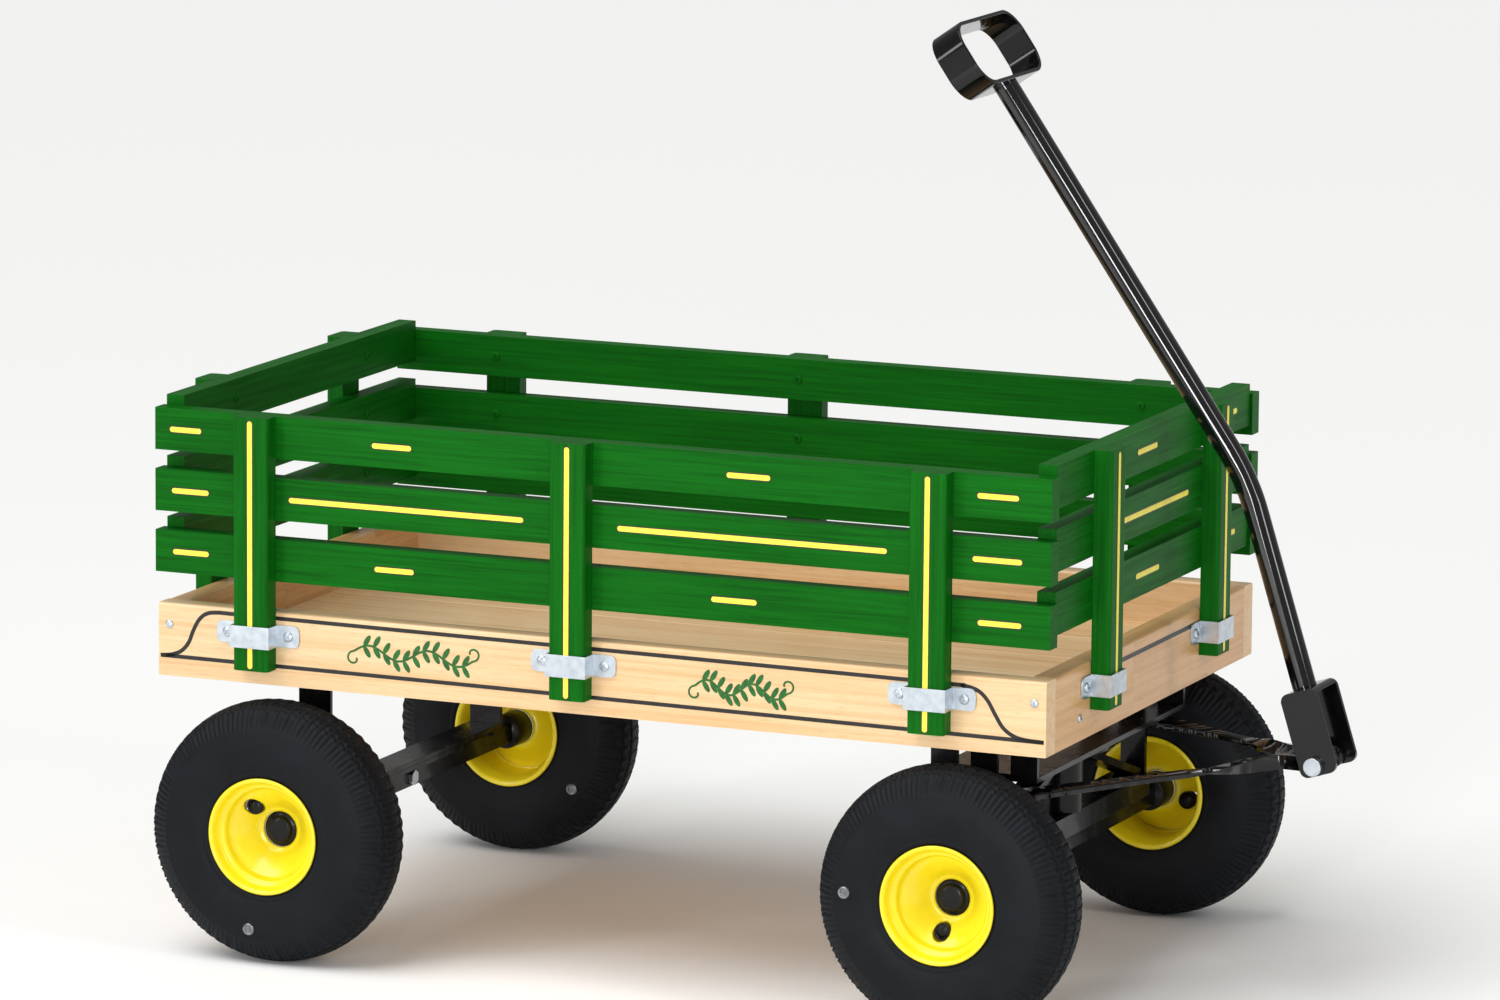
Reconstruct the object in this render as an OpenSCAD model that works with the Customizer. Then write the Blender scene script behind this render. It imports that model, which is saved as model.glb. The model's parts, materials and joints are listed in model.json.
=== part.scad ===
// Kids pull wagon: wooden bed, lift-out stake racks, steel running gear,
// four air-tyre wheels and a pull handle that steers the front axle.
// Millimetres. +X is the pulling direction, +Y the left side, +Z up.
// Everything is laid out about the middle of the bed, then shifted so that
// the origin lies on the ground at the middle of the whole wagon.

/* [Bed] */
// Length of the bed box
bed_l = 940; // [860:1:1040]
// Width of the bed box
bed_w = 570; // [500:1:660]
// Height of the bed boards
bed_h = 73; // [64:1:90]
// Thickness of the bed boards
board_t = 24; // [18:1:28]
// Height of the bed's lower edge above the ground
bed_z = 276; // [270:1:300]
// Drop from the board tops to the deck surface
deck_drop = 45; // [30:1:48]
// Thickness of the deck boards
deck_t = 12; // [9:1:15]
// Number of deck boards
deck_n = 5; // [3:1:7]
// Gap between deck boards
deck_gap = 1.5; // [1:0.5:4]

/* [Racks] */
// Height of one slat
slat_h = 42; // [34:1:46]
// Thickness of a slat
slat_t = 19; // [15:1:22]
// Clear height between two slats
slat_gap = 19; // [12:1:26]
// Clear height between the bed boards and the lowest side slat
slat_lift = 31; // [22:1:36]
// How far the side slats run past each bed end
slat_over = 3; // [0:1:8]
// Width of a stake
stake_w = 38; // [30:1:42]
// Thickness of a stake
stake_t = 19; // [15:1:22]
// Height of the side stakes' lower ends above the bed's lower edge
stake_foot = 16; // [8:1:20]
// How much higher the end racks stand than the side racks
end_rise = 10; // [4:1:14]
// Inset of the front side stake from the front of the bed
front_inset = 116; // [90:1:150]
// Inset of the rear side stake from the back of the bed
rear_inset = 110; // [90:1:150]
// Distance of the middle side stake behind the bed's middle
mid_offset = 20; // [0:1:60]
// Distance of each end stake from the centre line
end_stake_y = 150; // [120:1:180]
// Clearance between the racks and the bed
rack_clear = 0.3; // [0.3:0.1:1]

/* [Stake brackets] */
// Overall width of a bracket with its ears
bracket_l = 90; // [84:1:110]
// Height of the bracket strap
bracket_h = 22; // [16:1:26]
// Thickness of the bracket strap
bracket_t = 2; // [1.5:0.5:3]
// Slack between a stake and its bracket
bracket_slack = 0.5; // [0.3:0.1:1]
// Height of the bracket's middle above the bed's lower edge
bracket_z = 50; // [40:1:54]

/* [Wheels] */
// Outer diameter of a tyre
tyre_d = 262; // [250:1:265]
// Width of a tyre
tyre_w = 83; // [70:1:95]
// Outer diameter of the rim flanges
rim_d = 117; // [105:1:125]
// Width of the rim over its flanges
rim_w = 75; // [66:1:80]
// Distance between the left and right tyre middles
track = 570; // [540:1:620]
// Distance of the rear axle ahead of the bed's back
rear_axle_inset = 131; // [110:1:170]
// Distance of the front axle behind the bed's front
front_axle_inset = 95; // [85:1:130]
// Radius of the axle spindles
spindle_r = 8; // [6:0.5:9]
// Running clearance of pins and spindles in their bores
run_clear = 0.05; // [0.02:0.01:0.1]

/* [Running gear] */
// Side of the square axle bars
axle_s = 19; // [16:1:22]
// Thickness of the steel straps
strap_t = 5; // [4:0.5:6]
// Distance of the bolster legs from the centre line
leg_y = 198; // [180:1:205]
// Width of the rear bolster strap
rear_strap_w = 35; // [28:1:44]
// Width of the front bolster plate
front_bolster_w = 110; // [80:1:130]
// Clear height under the front bolster plate down to the tongue bars
tongue_clear = 12; // [8:1:16]
// Radius of the kingpin
kingpin_r = 8; // [6:0.5:10]
// Outer radius of the kingpin tube
tube_r = 23; // [18:1:26]
// Radius of the turntable plates
turntable_r = 50; // [40:1:55]

/* [Handle] */
// Height of the handle bolt above the ground
pivot_z = 236.5; // [225:0.5:245]
// Distance of the handle bolt ahead of the front axle
pivot_reach = 275; // [260:1:320]
// Radius of the handle bolt
bolt_r = 6; // [5:0.5:7]
// Half of the clear width between the yoke plates
yoke_gap = 26.5; // [24:0.5:30]
// Width of a yoke plate
yoke_w = 38; // [34:1:44]
// Height of the yoke above its bolt
yoke_h = 74; // [60:1:90]
// Diameter of the handle tube
handle_d = 24; // [20:1:26]
// Lean of the lower handle from upright, in degrees
lean_low = 17.5; // [14:0.5:20]
// Lean of the upper handle from upright, in degrees
lean_high = 34.8; // [30:0.1:36]
// Radius of the handle's bend along its middle
bend_r = 225; // [180:1:260]
// Distance from the bolt to the handle's bend corner
low_l = 282; // [260:1:300]
// Distance from the bend corner to the grip
high_l = 450; // [420:1:480]
// Width of the grip loop across the wagon
grip_w = 157; // [140:1:170]
// Height of the grip loop along the handle
grip_h = 70; // [62:1:80]
// Width of the grip's strip
grip_strip = 33; // [26:1:36]

/* [Hidden] */
$fn = 64;

// Small overshoot of a cutting tool past the face it cuts
cut = 1;
// Clearance of a fixed fastener in its own hole
fix_clear = 0.05;

// Bed
bed_top = bed_z + bed_h;
half_l = bed_l / 2;
half_w = bed_w / 2;
rear_axle_x = half_l - rear_axle_inset;
front_axle_x = half_l - front_axle_inset;
inner_l = bed_l - 2 * board_t;
inner_w = bed_w - 2 * board_t;
deck_top = bed_top - deck_drop;
deck_under = deck_top - deck_t;
board_round = 3;

// Racks
slat_step = slat_h + slat_gap;
rack_bottom = bed_top + slat_lift;
rack_top = rack_bottom + 3 * slat_h + 2 * slat_gap;
side_slat_l = bed_l + 2 * slat_over;
rack_corner_gap = 1;
side_inner_y = half_w + rack_clear - slat_t;
end_slat_l = 2 * (side_inner_y - rack_corner_gap);
side_stakes = [-half_l + rear_inset, -mid_offset, half_l - front_inset];
end_stakes = [-end_stake_y, end_stake_y];
stake_round = 4;

// Rack screws, driven from inside through a slat into a stake
rack_screw_r = 2;
rack_screw_head_r = 4.5;
rack_screw_head_h = 2;
rack_screw_bite = 10;

// Brackets and their screws
bracket_in_w = stake_w + 2 * bracket_slack;
bracket_in_d = rack_clear + stake_t + bracket_slack;
bracket_out_w = bracket_in_w + 2 * bracket_t;
bracket_out_d = bracket_in_d + bracket_t;
ear_l = (bracket_l - bracket_out_w) / 2;
ear_screw_x = bracket_out_w / 2 + ear_l / 2;
bracket_screw_r = 2.2;
bracket_screw_head_r = 5;
bracket_screw_head_h = 2.5;
bracket_screw_bite = 14;

// Board screws through the side boards into the end boards, and in the ends
bed_screw_r = 2.5;
bed_screw_head_r = 4.2;
bed_screw_head_h = 2;
bed_screw_l = 22;
bed_screw_z = 52;
end_screw_y = 196;
end_screw_z = 22;
end_screw_l = 18;

// Wheels
axle_z = tyre_d / 2;
wheel_y = track / 2;
tyre_wall_r = tyre_w / 2;
tyre_wall_centre = axle_z - tyre_wall_r;
shoulder_w = 7.5;
tread_half = tyre_w / 2 - shoulder_w;
tread_round = 6;
rim_t = 3;
flange_h = 6.5;
flange_room = 0.3;
rim_bed_r = rim_d / 2 - flange_h;
hub_r = 18;
hub_proud = 3;
hub_in = -(rim_w / 2 + hub_proud);
hub_out = 0;
hub_floor = 8;
dish_step_y = 16;
dish_floor_y = -8;
dish_step_w = 9;
dish_step_r = rim_bed_r - dish_step_w;
dish_foot = 6;
valve_hole_r = 8;
valve_hole_shift = 2;
valve_hole_at = (hub_r + dish_step_r) / 2 + valve_hole_shift;
spindle_gap = 2;
spindle_end = wheel_y - hub_floor - spindle_gap;
hub_gap = 1;
axle_bar_end = wheel_y + hub_in - hub_gap;

// Rear bolster and axle
axle_top = axle_z + axle_s / 2;
rear_spacer = 5;
rear_strap_z = axle_top + rear_spacer;
rear_pad_w = 20;
rear_pad_y = leg_y - 8;
foot_l = 32;
bolster_bolt_r = 4;
bolster_bolt_head_r = 8;
bolster_bolt_head_h = 5;
cleat_t = deck_under - bed_z;
cleat_bite = cleat_t - 2;
rear_cleat_margin = 20;
rear_cleat_w = rear_strap_w + 2 * rear_cleat_margin;
front_cleat_margin = 15;
front_cleat_w = front_bolster_w + 2 * front_cleat_margin;
mid_cleat_w = 70;

// Steering fork, from the axle upwards
beam_h = 22;
beam_w = 38;
beam_top = axle_top + beam_h;
post_w = 26;
post_t = 6;
flange_l = 28;
fork_bolt_r = 4;
fork_bolt_head_r = 7;
fork_bolt_head_h = 4.5;
fork_bolt_bite = 24;
post_step = 5;
post_y = leg_y + post_step;
tongue_t = 6;
tongue_w = 32;
turn_t = 6;
turn_gap = 0.4;
bolster_h = 44;
bolster_under = bed_z - bolster_h;
bolster_rib = 27.5;
bolster_rim = 2;
bolster_bolt_inset = 15.4;
fork_plate_z = bolster_under - turn_gap - turn_t;
tongue_z = bolster_under - tongue_clear - tongue_t;
post_top = tongue_z;
brace_t = 6;
brace_w = 26;
brace_drop = 2;
brace_top = fork_plate_z - brace_drop;
brace_inset = 6;
brace_end_y = leg_y - brace_inset;
kingpin_head_r = 14;
kingpin_head_h = 9;
kingpin_nut_h = 10;
kingpin_low = axle_z - axle_s / 2 - turn_gap;

// Tongue and handle bolt
pivot_x = front_axle_x + pivot_reach;
eye_r = 11;
eye_t = 6;
eye_gap = 0.5;
eye_y = yoke_gap - eye_gap - eye_t;
eye_l = 62;
weld_l = 24;
tongue_inset = 2;
tongue_y = leg_y - tongue_inset;
knee_reach = 32;
tongue_knee = front_axle_x + knee_reach;
eye_reach = 30;
tongue_end = pivot_x - eye_reach;
eye_flare = 19.2;
knee_lap = 1;
sweep_clear = 3;
tongue_rise = atan((pivot_z - tongue_z - tongue_t / 2) / (pivot_x - tongue_knee));
bolt_head_r = 9;
bolt_head_h = 7;
bolt_gap = 0.3;

// Yoke, tube and grip
yoke_t = 5;
yoke_r = 8;
yoke_drop = 10;
yoke_shift = 3;
yoke_out = yoke_gap + yoke_t;
bend_turn = lean_high - lean_low;
bend_trim = bend_r * tan(bend_turn / 2);
handle_wall = 2;
grip_t = 4;
grip_corner = 26;

// Middle of the whole wagon along its length
front_x = pivot_x + yoke_shift * cos(lean_low) + (yoke_w / 2 - yoke_r) * cos(lean_low)
    + (yoke_drop - yoke_r) * sin(lean_low) + yoke_r;
rear_x = half_l + bracket_out_d;
x_mid = (front_x - rear_x) / 2;

// --- Helpers ---------------------------------------------------------------

// Rectangle centred on the origin with four round corners
module round_rect(w, h, r) {
    square([w, h - 2 * r], center = true);
    square([w - 2 * r, h], center = true);
    for (x = [-1, 1], y = [-1, 1])
        translate([x * (w / 2 - r), y * (h / 2 - r)]) circle(r);
}

// Bar with round long edges on its +Z face only, lying along X from x0
module eased_board(l, w, h, r) {
    rotate([90, 0, 90]) linear_extrude(l) {
        translate([0, -h / 2]) square([w, h - r], center = false);
        translate([r, -h / 2]) square([w - 2 * r, h]);
        translate([r, h / 2 - r]) circle(r);
        translate([w - r, h / 2 - r]) circle(r);
    }
}

// Puts a wheel-frame or bed-frame shape in the wagon's own frame
module place() translate([-x_mid, 0, 0]) children();

// Left is as modelled; right is its mirror image
module on_side(side) {
    if (side == "left") children();
    else mirror([0, 1, 0]) children();
}

// Front is as modelled; rear is its mirror image
module on_end(end) {
    if (end == "front") children();
    else mirror([1, 0, 0]) children();
}

// Pan-head screw: head above the origin, shank below it
module screw(head_r, head_h, shank_r, l) {
    cylinder(r1 = head_r, r2 = head_r * 0.7, h = head_h, $fn = 32);
    translate([0, 0, -l]) cylinder(r = shank_r, h = l + head_h / 2, $fn = 24);
}

// Hole for a fixed screw, open at the surface it enters
module screw_hole(shank_r, l) {
    translate([0, 0, -l - cut / 2]) cylinder(r = shank_r + fix_clear, h = l + cut, $fn = 24);
}

// Hexagon bolt: head above the origin, shank below it
module hex_bolt(head_r, head_h, shank_r, l) {
    cylinder(r = head_r, h = head_h, $fn = 6);
    translate([0, 0, -l]) cylinder(r = shank_r, h = l + head_h / 2, $fn = 32);
}

// --- Bed -------------------------------------------------------------------

// Places of the bracket screws on the left board and on the front board
module at_side_bracket_screws() {
    for (x = side_stakes, e = [-1, 1])
        translate([x + e * ear_screw_x, half_w, bed_z + bracket_z])
            rotate([-90, 0, 0]) children();
}

module at_end_bracket_screws() {
    for (y = end_stakes, e = [-1, 1])
        translate([half_l, y + e * ear_screw_x, bed_z + bracket_z])
            rotate([0, 90, 0]) children();
}

// Places of the board screws: one through each end of the left board into the end board
module at_side_bed_screws() {
    for (x = [-1, 1])
        translate([x * (half_l - board_t / 2), half_w, bed_z + bed_screw_z])
            rotate([-90, 0, 0]) children();
}

module at_end_bed_screws() {
    for (y = [-1, 1])
        translate([half_l, y * end_screw_y, bed_z + end_screw_z])
            rotate([0, 90, 0]) children();
}

module bed_side() {
    difference() {
        translate([-half_l, half_w - board_t, bed_z + bed_h / 2])
            eased_board(bed_l, board_t, bed_h, board_round);
        at_side_bracket_screws() screw_hole(bracket_screw_r, bracket_t + bracket_screw_bite);
        at_side_bed_screws() screw_hole(bed_screw_r, board_t + cut);
    }
}

module bed_end() {
    difference() {
        translate([half_l, -inner_w / 2, bed_z + bed_h / 2]) rotate([0, 0, 90])
            eased_board(inner_w, board_t, bed_h, board_round);
        at_end_bracket_screws() screw_hole(bracket_screw_r, bracket_t + bracket_screw_bite);
        at_end_bed_screws() screw_hole(bed_screw_r, end_screw_l);
        for (side = ["left", "right"]) on_side(side)
            at_side_bed_screws() screw_hole(bed_screw_r, board_t + bed_screw_l);
    }
}

module deck_boards() {
    pitch = (inner_w + deck_gap) / deck_n;
    for (i = [0 : deck_n - 1])
        translate([-inner_l / 2, -inner_w / 2 + i * pitch, deck_under])
            cube([inner_l, pitch - deck_gap, deck_t]);
}

// Bolt places under the two bolsters
module at_rear_foot_bolts() {
    for (y = [-1, 1])
        translate([-rear_axle_x, y * (leg_y + strap_t + foot_l / 2), bed_z - strap_t])
            rotate([180, 0, 0]) children();
}

module at_front_foot_bolts() {
    for (x = [-1, 1], y = [-1, 1])
        translate([front_axle_x + x * (front_bolster_w / 2 - bolster_bolt_inset),
                   y * (leg_y + strap_t + foot_l / 2), bed_z - strap_t])
            rotate([180, 0, 0]) children();
}

module deck_cleats() {
    difference() {
        for (c = [[-rear_axle_x, rear_cleat_w], [0, mid_cleat_w],
                  [min(front_axle_x, inner_l / 2 - front_cleat_w / 2), front_cleat_w]])
            translate([c[0] - c[1] / 2, -inner_w / 2, bed_z])
                cube([c[1], inner_w, cleat_t]);
        at_rear_foot_bolts() screw_hole(bolster_bolt_r, strap_t + cleat_bite);
        at_front_foot_bolts() screw_hole(bolster_bolt_r, strap_t + cleat_bite);
    }
}

module bed_screws() {
    for (side = ["left", "right"]) on_side(side) at_side_bed_screws()
        screw(bed_screw_head_r, bed_screw_head_h, bed_screw_r, board_t + bed_screw_l - cut);
    for (end = ["front", "rear"]) on_end(end) at_end_bed_screws()
        screw(bed_screw_head_r, bed_screw_head_h, bed_screw_r, end_screw_l - cut);
}

// Hat-shaped strap round a stake, standing on a face at y = 0, opening towards it
module stake_bracket() {
    translate([0, 0, -bracket_h / 2]) linear_extrude(bracket_h) difference() {
        translate([-bracket_out_w / 2, 0]) square([bracket_out_w, bracket_out_d]);
        translate([-bracket_in_w / 2, -cut]) square([bracket_in_w, bracket_in_d + cut]);
    }
    for (e = [-1, 1]) difference() {
        rotate([-90, 0, 0]) linear_extrude(bracket_t) {
            translate([e * (bracket_out_w / 2 + (ear_l - bracket_h / 2) / 2 - bracket_t / 4), 0])
                square([ear_l - bracket_h / 2 + bracket_t / 2, bracket_h], center = true);
            translate([e * (bracket_l / 2 - bracket_h / 2), 0]) intersection() {
                circle(bracket_h / 2);
                translate([e * bracket_h / 2, 0]) square(bracket_h + bracket_t, center = true);
            }
        }
        translate([e * ear_screw_x, bracket_t, 0]) rotate([-90, 0, 0])
            screw_hole(bracket_screw_r, bracket_t + cut);
    }
}

module stake_brackets() {
    for (side = ["left", "right"]) on_side(side) for (x = side_stakes)
        translate([x, half_w, bed_z + bracket_z]) stake_bracket();
    for (end = ["front", "rear"]) on_end(end) for (y = end_stakes)
        translate([half_l, y, bed_z + bracket_z]) rotate([0, 0, -90]) stake_bracket();
}

module bracket_screws() {
    for (side = ["left", "right"]) on_side(side) at_side_bracket_screws()
        translate([0, 0, bracket_t])
            screw(bracket_screw_head_r, bracket_screw_head_h, bracket_screw_r,
                  bracket_t + bracket_screw_bite - cut);
    for (end = ["front", "rear"]) on_end(end) at_end_bracket_screws()
        translate([0, 0, bracket_t])
            screw(bracket_screw_head_r, bracket_screw_head_h, bracket_screw_r,
                  bracket_t + bracket_screw_bite - cut);
}

// --- Racks -----------------------------------------------------------------

// Screw places of the left rack, on the slats' inner faces
module at_side_rack_screws(level) {
    for (x = side_stakes)
        translate([x, side_inner_y, rack_bottom + level * slat_step + slat_h / 2])
            rotate([90, 0, 0]) children();
}

module at_end_rack_screws(level) {
    for (y = end_stakes)
        translate([half_l + rack_clear - slat_t, y,
                   rack_bottom + end_rise + level * slat_step + slat_h / 2])
            rotate([0, -90, 0]) children();
}

module side_slat(level) {
    difference() {
        translate([-side_slat_l / 2, side_inner_y, rack_bottom + level * slat_step])
            cube([side_slat_l, slat_t, slat_h]);
        at_side_rack_screws(level) screw_hole(rack_screw_r, slat_t + cut);
    }
}

module end_slat(level) {
    difference() {
        translate([half_l + rack_clear - slat_t, -end_slat_l / 2,
                   rack_bottom + end_rise + level * slat_step])
            cube([slat_t, end_slat_l, slat_h]);
        at_end_rack_screws(level) screw_hole(rack_screw_r, slat_t + cut);
    }
}

// Stake with its two outer edges rounded, inner face on y = 0, standing on z = 0
module stake(h) {
    linear_extrude(h) {
        translate([-stake_w / 2, 0]) square([stake_w, stake_t - stake_round]);
        translate([-stake_w / 2 + stake_round, 0]) square([stake_w - 2 * stake_round, stake_t]);
        for (e = [-1, 1])
            translate([e * (stake_w / 2 - stake_round), stake_t - stake_round])
                circle(stake_round);
    }
}

module side_stakes_left() {
    difference() {
        for (x = side_stakes)
            translate([x, half_w + rack_clear, bed_z + stake_foot])
                stake(rack_top - bed_z - stake_foot);
        for (level = [0 : 2]) at_side_rack_screws(level)
            screw_hole(rack_screw_r, slat_t + rack_screw_bite);
    }
}

module end_stakes_front() {
    difference() {
        for (y = end_stakes)
            translate([half_l + rack_clear, y, bed_z + stake_foot + end_rise])
                rotate([0, 0, -90]) stake(rack_top - bed_z - stake_foot);
        for (level = [0 : 2]) at_end_rack_screws(level)
            screw_hole(rack_screw_r, slat_t + rack_screw_bite);
    }
}

module rack_screw() {
    screw(rack_screw_head_r, rack_screw_head_h, rack_screw_r, slat_t + rack_screw_bite - cut);
}

module side_rack_screws() for (level = [0 : 2]) at_side_rack_screws(level) rack_screw();

module end_rack_screws() for (level = [0 : 2]) at_end_rack_screws(level) rack_screw();

// --- Running gear ----------------------------------------------------------

// Hat-shaped steel bracket across the wagon, its feet under the cleats
module hat(w, under) {
    rotate([90, 0, 90]) translate([0, 0, -w / 2]) linear_extrude(w) {
        translate([-leg_y - strap_t, under]) square([2 * (leg_y + strap_t), strap_t]);
        for (e = [-1, 1]) {
            translate([e * (leg_y + strap_t / 2) - strap_t / 2, under])
                square([strap_t, bed_z - under]);
            translate([e * (leg_y + (strap_t + foot_l) / 2) - (strap_t + foot_l) / 2,
                       bed_z - strap_t])
                square([strap_t + foot_l, strap_t]);
        }
    }
}

module rear_bolster() {
    difference() {
        translate([-rear_axle_x, 0, 0]) hat(rear_strap_w, rear_strap_z);
        at_rear_foot_bolts() screw_hole(bolster_bolt_r, strap_t + cut);
    }
}

// Front bolster: each leg is opened by two windows, which leaves three ribs
module front_bolster() {
    window = (front_bolster_w - 3 * bolster_rib) / 2;
    window_h = bolster_h - 2 * (strap_t + bolster_rim);
    difference() {
        translate([front_axle_x, 0, 0]) hat(front_bolster_w, bolster_under);
        at_front_foot_bolts() screw_hole(bolster_bolt_r, strap_t + cut);
        for (e = [-1, 1])
            translate([front_axle_x + e * (bolster_rib + window) / 2 - window / 2,
                       -leg_y - strap_t - cut, bolster_under + strap_t + bolster_rim])
                cube([window, 2 * (leg_y + strap_t + cut), window_h]);
        translate([front_axle_x, 0, bolster_under - cut])
            cylinder(r = kingpin_r + fix_clear, h = strap_t + 2 * cut);
    }
}

// Square bar with round spindles for the hubs
module axle_bar(x) {
    translate([x - axle_s / 2, -axle_bar_end, axle_z - axle_s / 2])
        cube([axle_s, 2 * axle_bar_end, axle_s]);
    translate([x, -spindle_end, axle_z]) rotate([-90, 0, 0])
        cylinder(r = spindle_r, h = 2 * spindle_end);
}

module rear_axle() {
    difference() {
        union() {
            axle_bar(-rear_axle_x);
            translate([-rear_axle_x - rear_strap_w / 2, -leg_y / 2, axle_top])
                cube([rear_strap_w, leg_y, rear_spacer]);
            for (e = [-1, 1])
                translate([-rear_axle_x - rear_strap_w / 2, e * rear_pad_y - rear_pad_w / 2, axle_top])
                    cube([rear_strap_w, rear_pad_w, rear_spacer]);
        }
        at_axle_bolt() screw_hole(bolster_bolt_r, axle_s + cut);
    }
}

module at_axle_bolt() {
    translate([-rear_axle_x + axle_s / 2, 0, axle_z]) rotate([0, 90, 0]) children();
}

module bolster_bolts() {
    at_rear_foot_bolts()
        hex_bolt(bolster_bolt_head_r, bolster_bolt_head_h, bolster_bolt_r,
                 strap_t + cleat_bite - cut);
    at_front_foot_bolts()
        hex_bolt(bolster_bolt_head_r, bolster_bolt_head_h, bolster_bolt_r,
                 strap_t + cleat_bite - cut);
    at_axle_bolt() {
        hex_bolt(bolster_bolt_head_r, bolster_bolt_head_h, bolster_bolt_r, axle_s);
        translate([0, 0, -axle_s - bolster_bolt_head_h])
            cylinder(r = bolster_bolt_head_r, h = bolster_bolt_head_h, $fn = 6);
    }
}

// Kingpin: head on the bolster plate, nut under the axle
module kingpin() {
    translate([front_axle_x, 0, 0]) {
        translate([0, 0, kingpin_low - kingpin_nut_h])
            cylinder(r = kingpin_head_r, h = kingpin_nut_h, $fn = 6);
        translate([0, 0, kingpin_low - kingpin_nut_h])
            cylinder(r = kingpin_r, h = bolster_under + strap_t - kingpin_low + kingpin_nut_h);
        translate([0, 0, bolster_under + strap_t])
            cylinder(r = kingpin_head_r, h = kingpin_head_h, $fn = 6);
    }
}

module kingpin_bore() {
    translate([front_axle_x, 0, axle_z - axle_s / 2 - cut])
        cylinder(r = kingpin_r + run_clear, h = bolster_under);
}

module fork_plate() {
    difference() {
        translate([front_axle_x, 0, fork_plate_z]) cylinder(r = turntable_r, h = turn_t);
        kingpin_bore();
    }
}

module fork_tube() {
    difference() {
        translate([front_axle_x, 0, beam_top])
            cylinder(r = tube_r, h = fork_plate_z - beam_top);
        kingpin_bore();
    }
}

module fork_beam() {
    difference() {
        translate([front_axle_x - beam_w / 2, -post_y, axle_top])
            cube([beam_w, 2 * post_y, beam_h]);
        kingpin_bore();
        for (side = ["left", "right"]) on_side(side)
            at_post_bolt() screw_hole(fork_bolt_r, post_t + fork_bolt_bite);
    }
}

// Flat braces from the top of the kingpin tube down to the ends of the beam
module fork_braces() {
    for (side = ["left", "right"]) on_side(side) difference() {
        translate([front_axle_x - brace_w / 2, 0, 0]) rotate([90, 0, 90]) linear_extrude(brace_w)
            polygon([[0, brace_top], [tube_r, brace_top], [brace_end_y, beam_top + brace_t],
                     [brace_end_y, beam_top], [brace_end_y - brace_t, beam_top],
                     [tube_r - brace_t, brace_top - brace_t], [0, brace_top - brace_t]]);
        translate([front_axle_x, 0, beam_top - cut])
            cylinder(r = tube_r, h = brace_top);
    }
}

// Places of the fork's bolts on the left: down through the tongue bar, and out through the post
module at_tongue_bolt() {
    translate([front_axle_x, tongue_y, tongue_z + tongue_t]) children();
}

module at_post_bolt() {
    translate([front_axle_x, post_y + post_t, beam_top - beam_h / 2])
        rotate([-90, 0, 0]) children();
}

// Upright posts at the beam's ends, with a flange under the tongue bars
module fork_posts() {
    for (side = ["left", "right"]) on_side(side) difference() {
        translate([front_axle_x - post_w / 2, 0, 0]) {
            translate([0, post_y, axle_top]) cube([post_w, post_t, post_top - axle_top]);
            translate([0, post_y + post_t - flange_l, post_top - post_t])
                cube([post_w, flange_l, post_t]);
        }
        at_tongue_bolt() screw_hole(fork_bolt_r, tongue_t + post_t + cut);
        at_post_bolt() screw_hole(fork_bolt_r, post_t + cut);
    }
}

// Bolts through the tongue bars and flanges, with nuts, and through the posts into the beam
module fork_bolts() {
    for (side = ["left", "right"]) on_side(side) {
        at_tongue_bolt() {
            hex_bolt(fork_bolt_head_r, fork_bolt_head_h, fork_bolt_r, tongue_t + post_t);
            translate([0, 0, -tongue_t - post_t - fork_bolt_head_h])
                cylinder(r = fork_bolt_head_r, h = fork_bolt_head_h, $fn = 6);
        }
        at_post_bolt()
            hex_bolt(fork_bolt_head_r, fork_bolt_head_h, fork_bolt_r, post_t + fork_bolt_bite - cut);
    }
}

module front_axle() {
    difference() {
        axle_bar(front_axle_x);
        kingpin_bore();
    }
}

// Flat bar on the fork post, kneed towards the middle, with an upright eye at its end
module tongue_bar() {
    run = tongue_end - tongue_knee;
    outer = tongue_y + tongue_w / 2;
    difference() {
        union() {
            translate([front_axle_x - post_w / 2, outer - tongue_w, tongue_z])
                cube([tongue_knee - front_axle_x + post_w / 2, tongue_w, tongue_t]);
            translate([tongue_knee, 0, tongue_z]) rotate([0, -tongue_rise, 0])
                linear_extrude(tongue_t)
                    polygon([[-knee_lap, outer], [-knee_lap, outer - tongue_w], [run - weld_l, eye_y],
                             [run, eye_y], [run, eye_y + eye_flare],
                             [run - weld_l / 2, eye_y + tongue_w]]);
            translate([0, eye_y + eye_t, 0]) rotate([90, 0, 0]) linear_extrude(eye_t) {
                translate([pivot_x, pivot_z]) circle(eye_r);
                translate([pivot_x - eye_l, pivot_z - eye_r]) square([eye_l, 2 * eye_r]);
            }
        }
        translate([pivot_x, 0, pivot_z]) rotate([-90, 0, 0])
            cylinder(r = bolt_r + fix_clear, h = 2 * yoke_out);
        at_tongue_bolt() screw_hole(fork_bolt_r, tongue_t + cut);
        yoke_sweep();
    }
}

// Room for the left yoke plate beside the eye
module yoke_sweep() {
    translate([pivot_x, yoke_gap - eye_gap, pivot_z]) rotate([-90, 0, 0])
        cylinder(r = yoke_w / 2 + yoke_shift + sweep_clear, h = yoke_t + tongue_w);
}

module handle_bolt() {
    reach = yoke_out + bolt_gap;
    translate([pivot_x, 0, pivot_z]) {
        translate([0, -reach - bolt_head_h, 0]) rotate([-90, 0, 0])
            cylinder(r = bolt_head_r, h = bolt_head_h);
        translate([0, reach, 0]) rotate([-90, 0, 0])
            cylinder(r = bolt_head_r, h = bolt_head_h, $fn = 6);
        translate([0, -reach - bolt_head_h / 2, 0]) rotate([-90, 0, 0])
            cylinder(r = bolt_r, h = 2 * reach + bolt_head_h);
    }
}

// --- Handle ----------------------------------------------------------------

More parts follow.
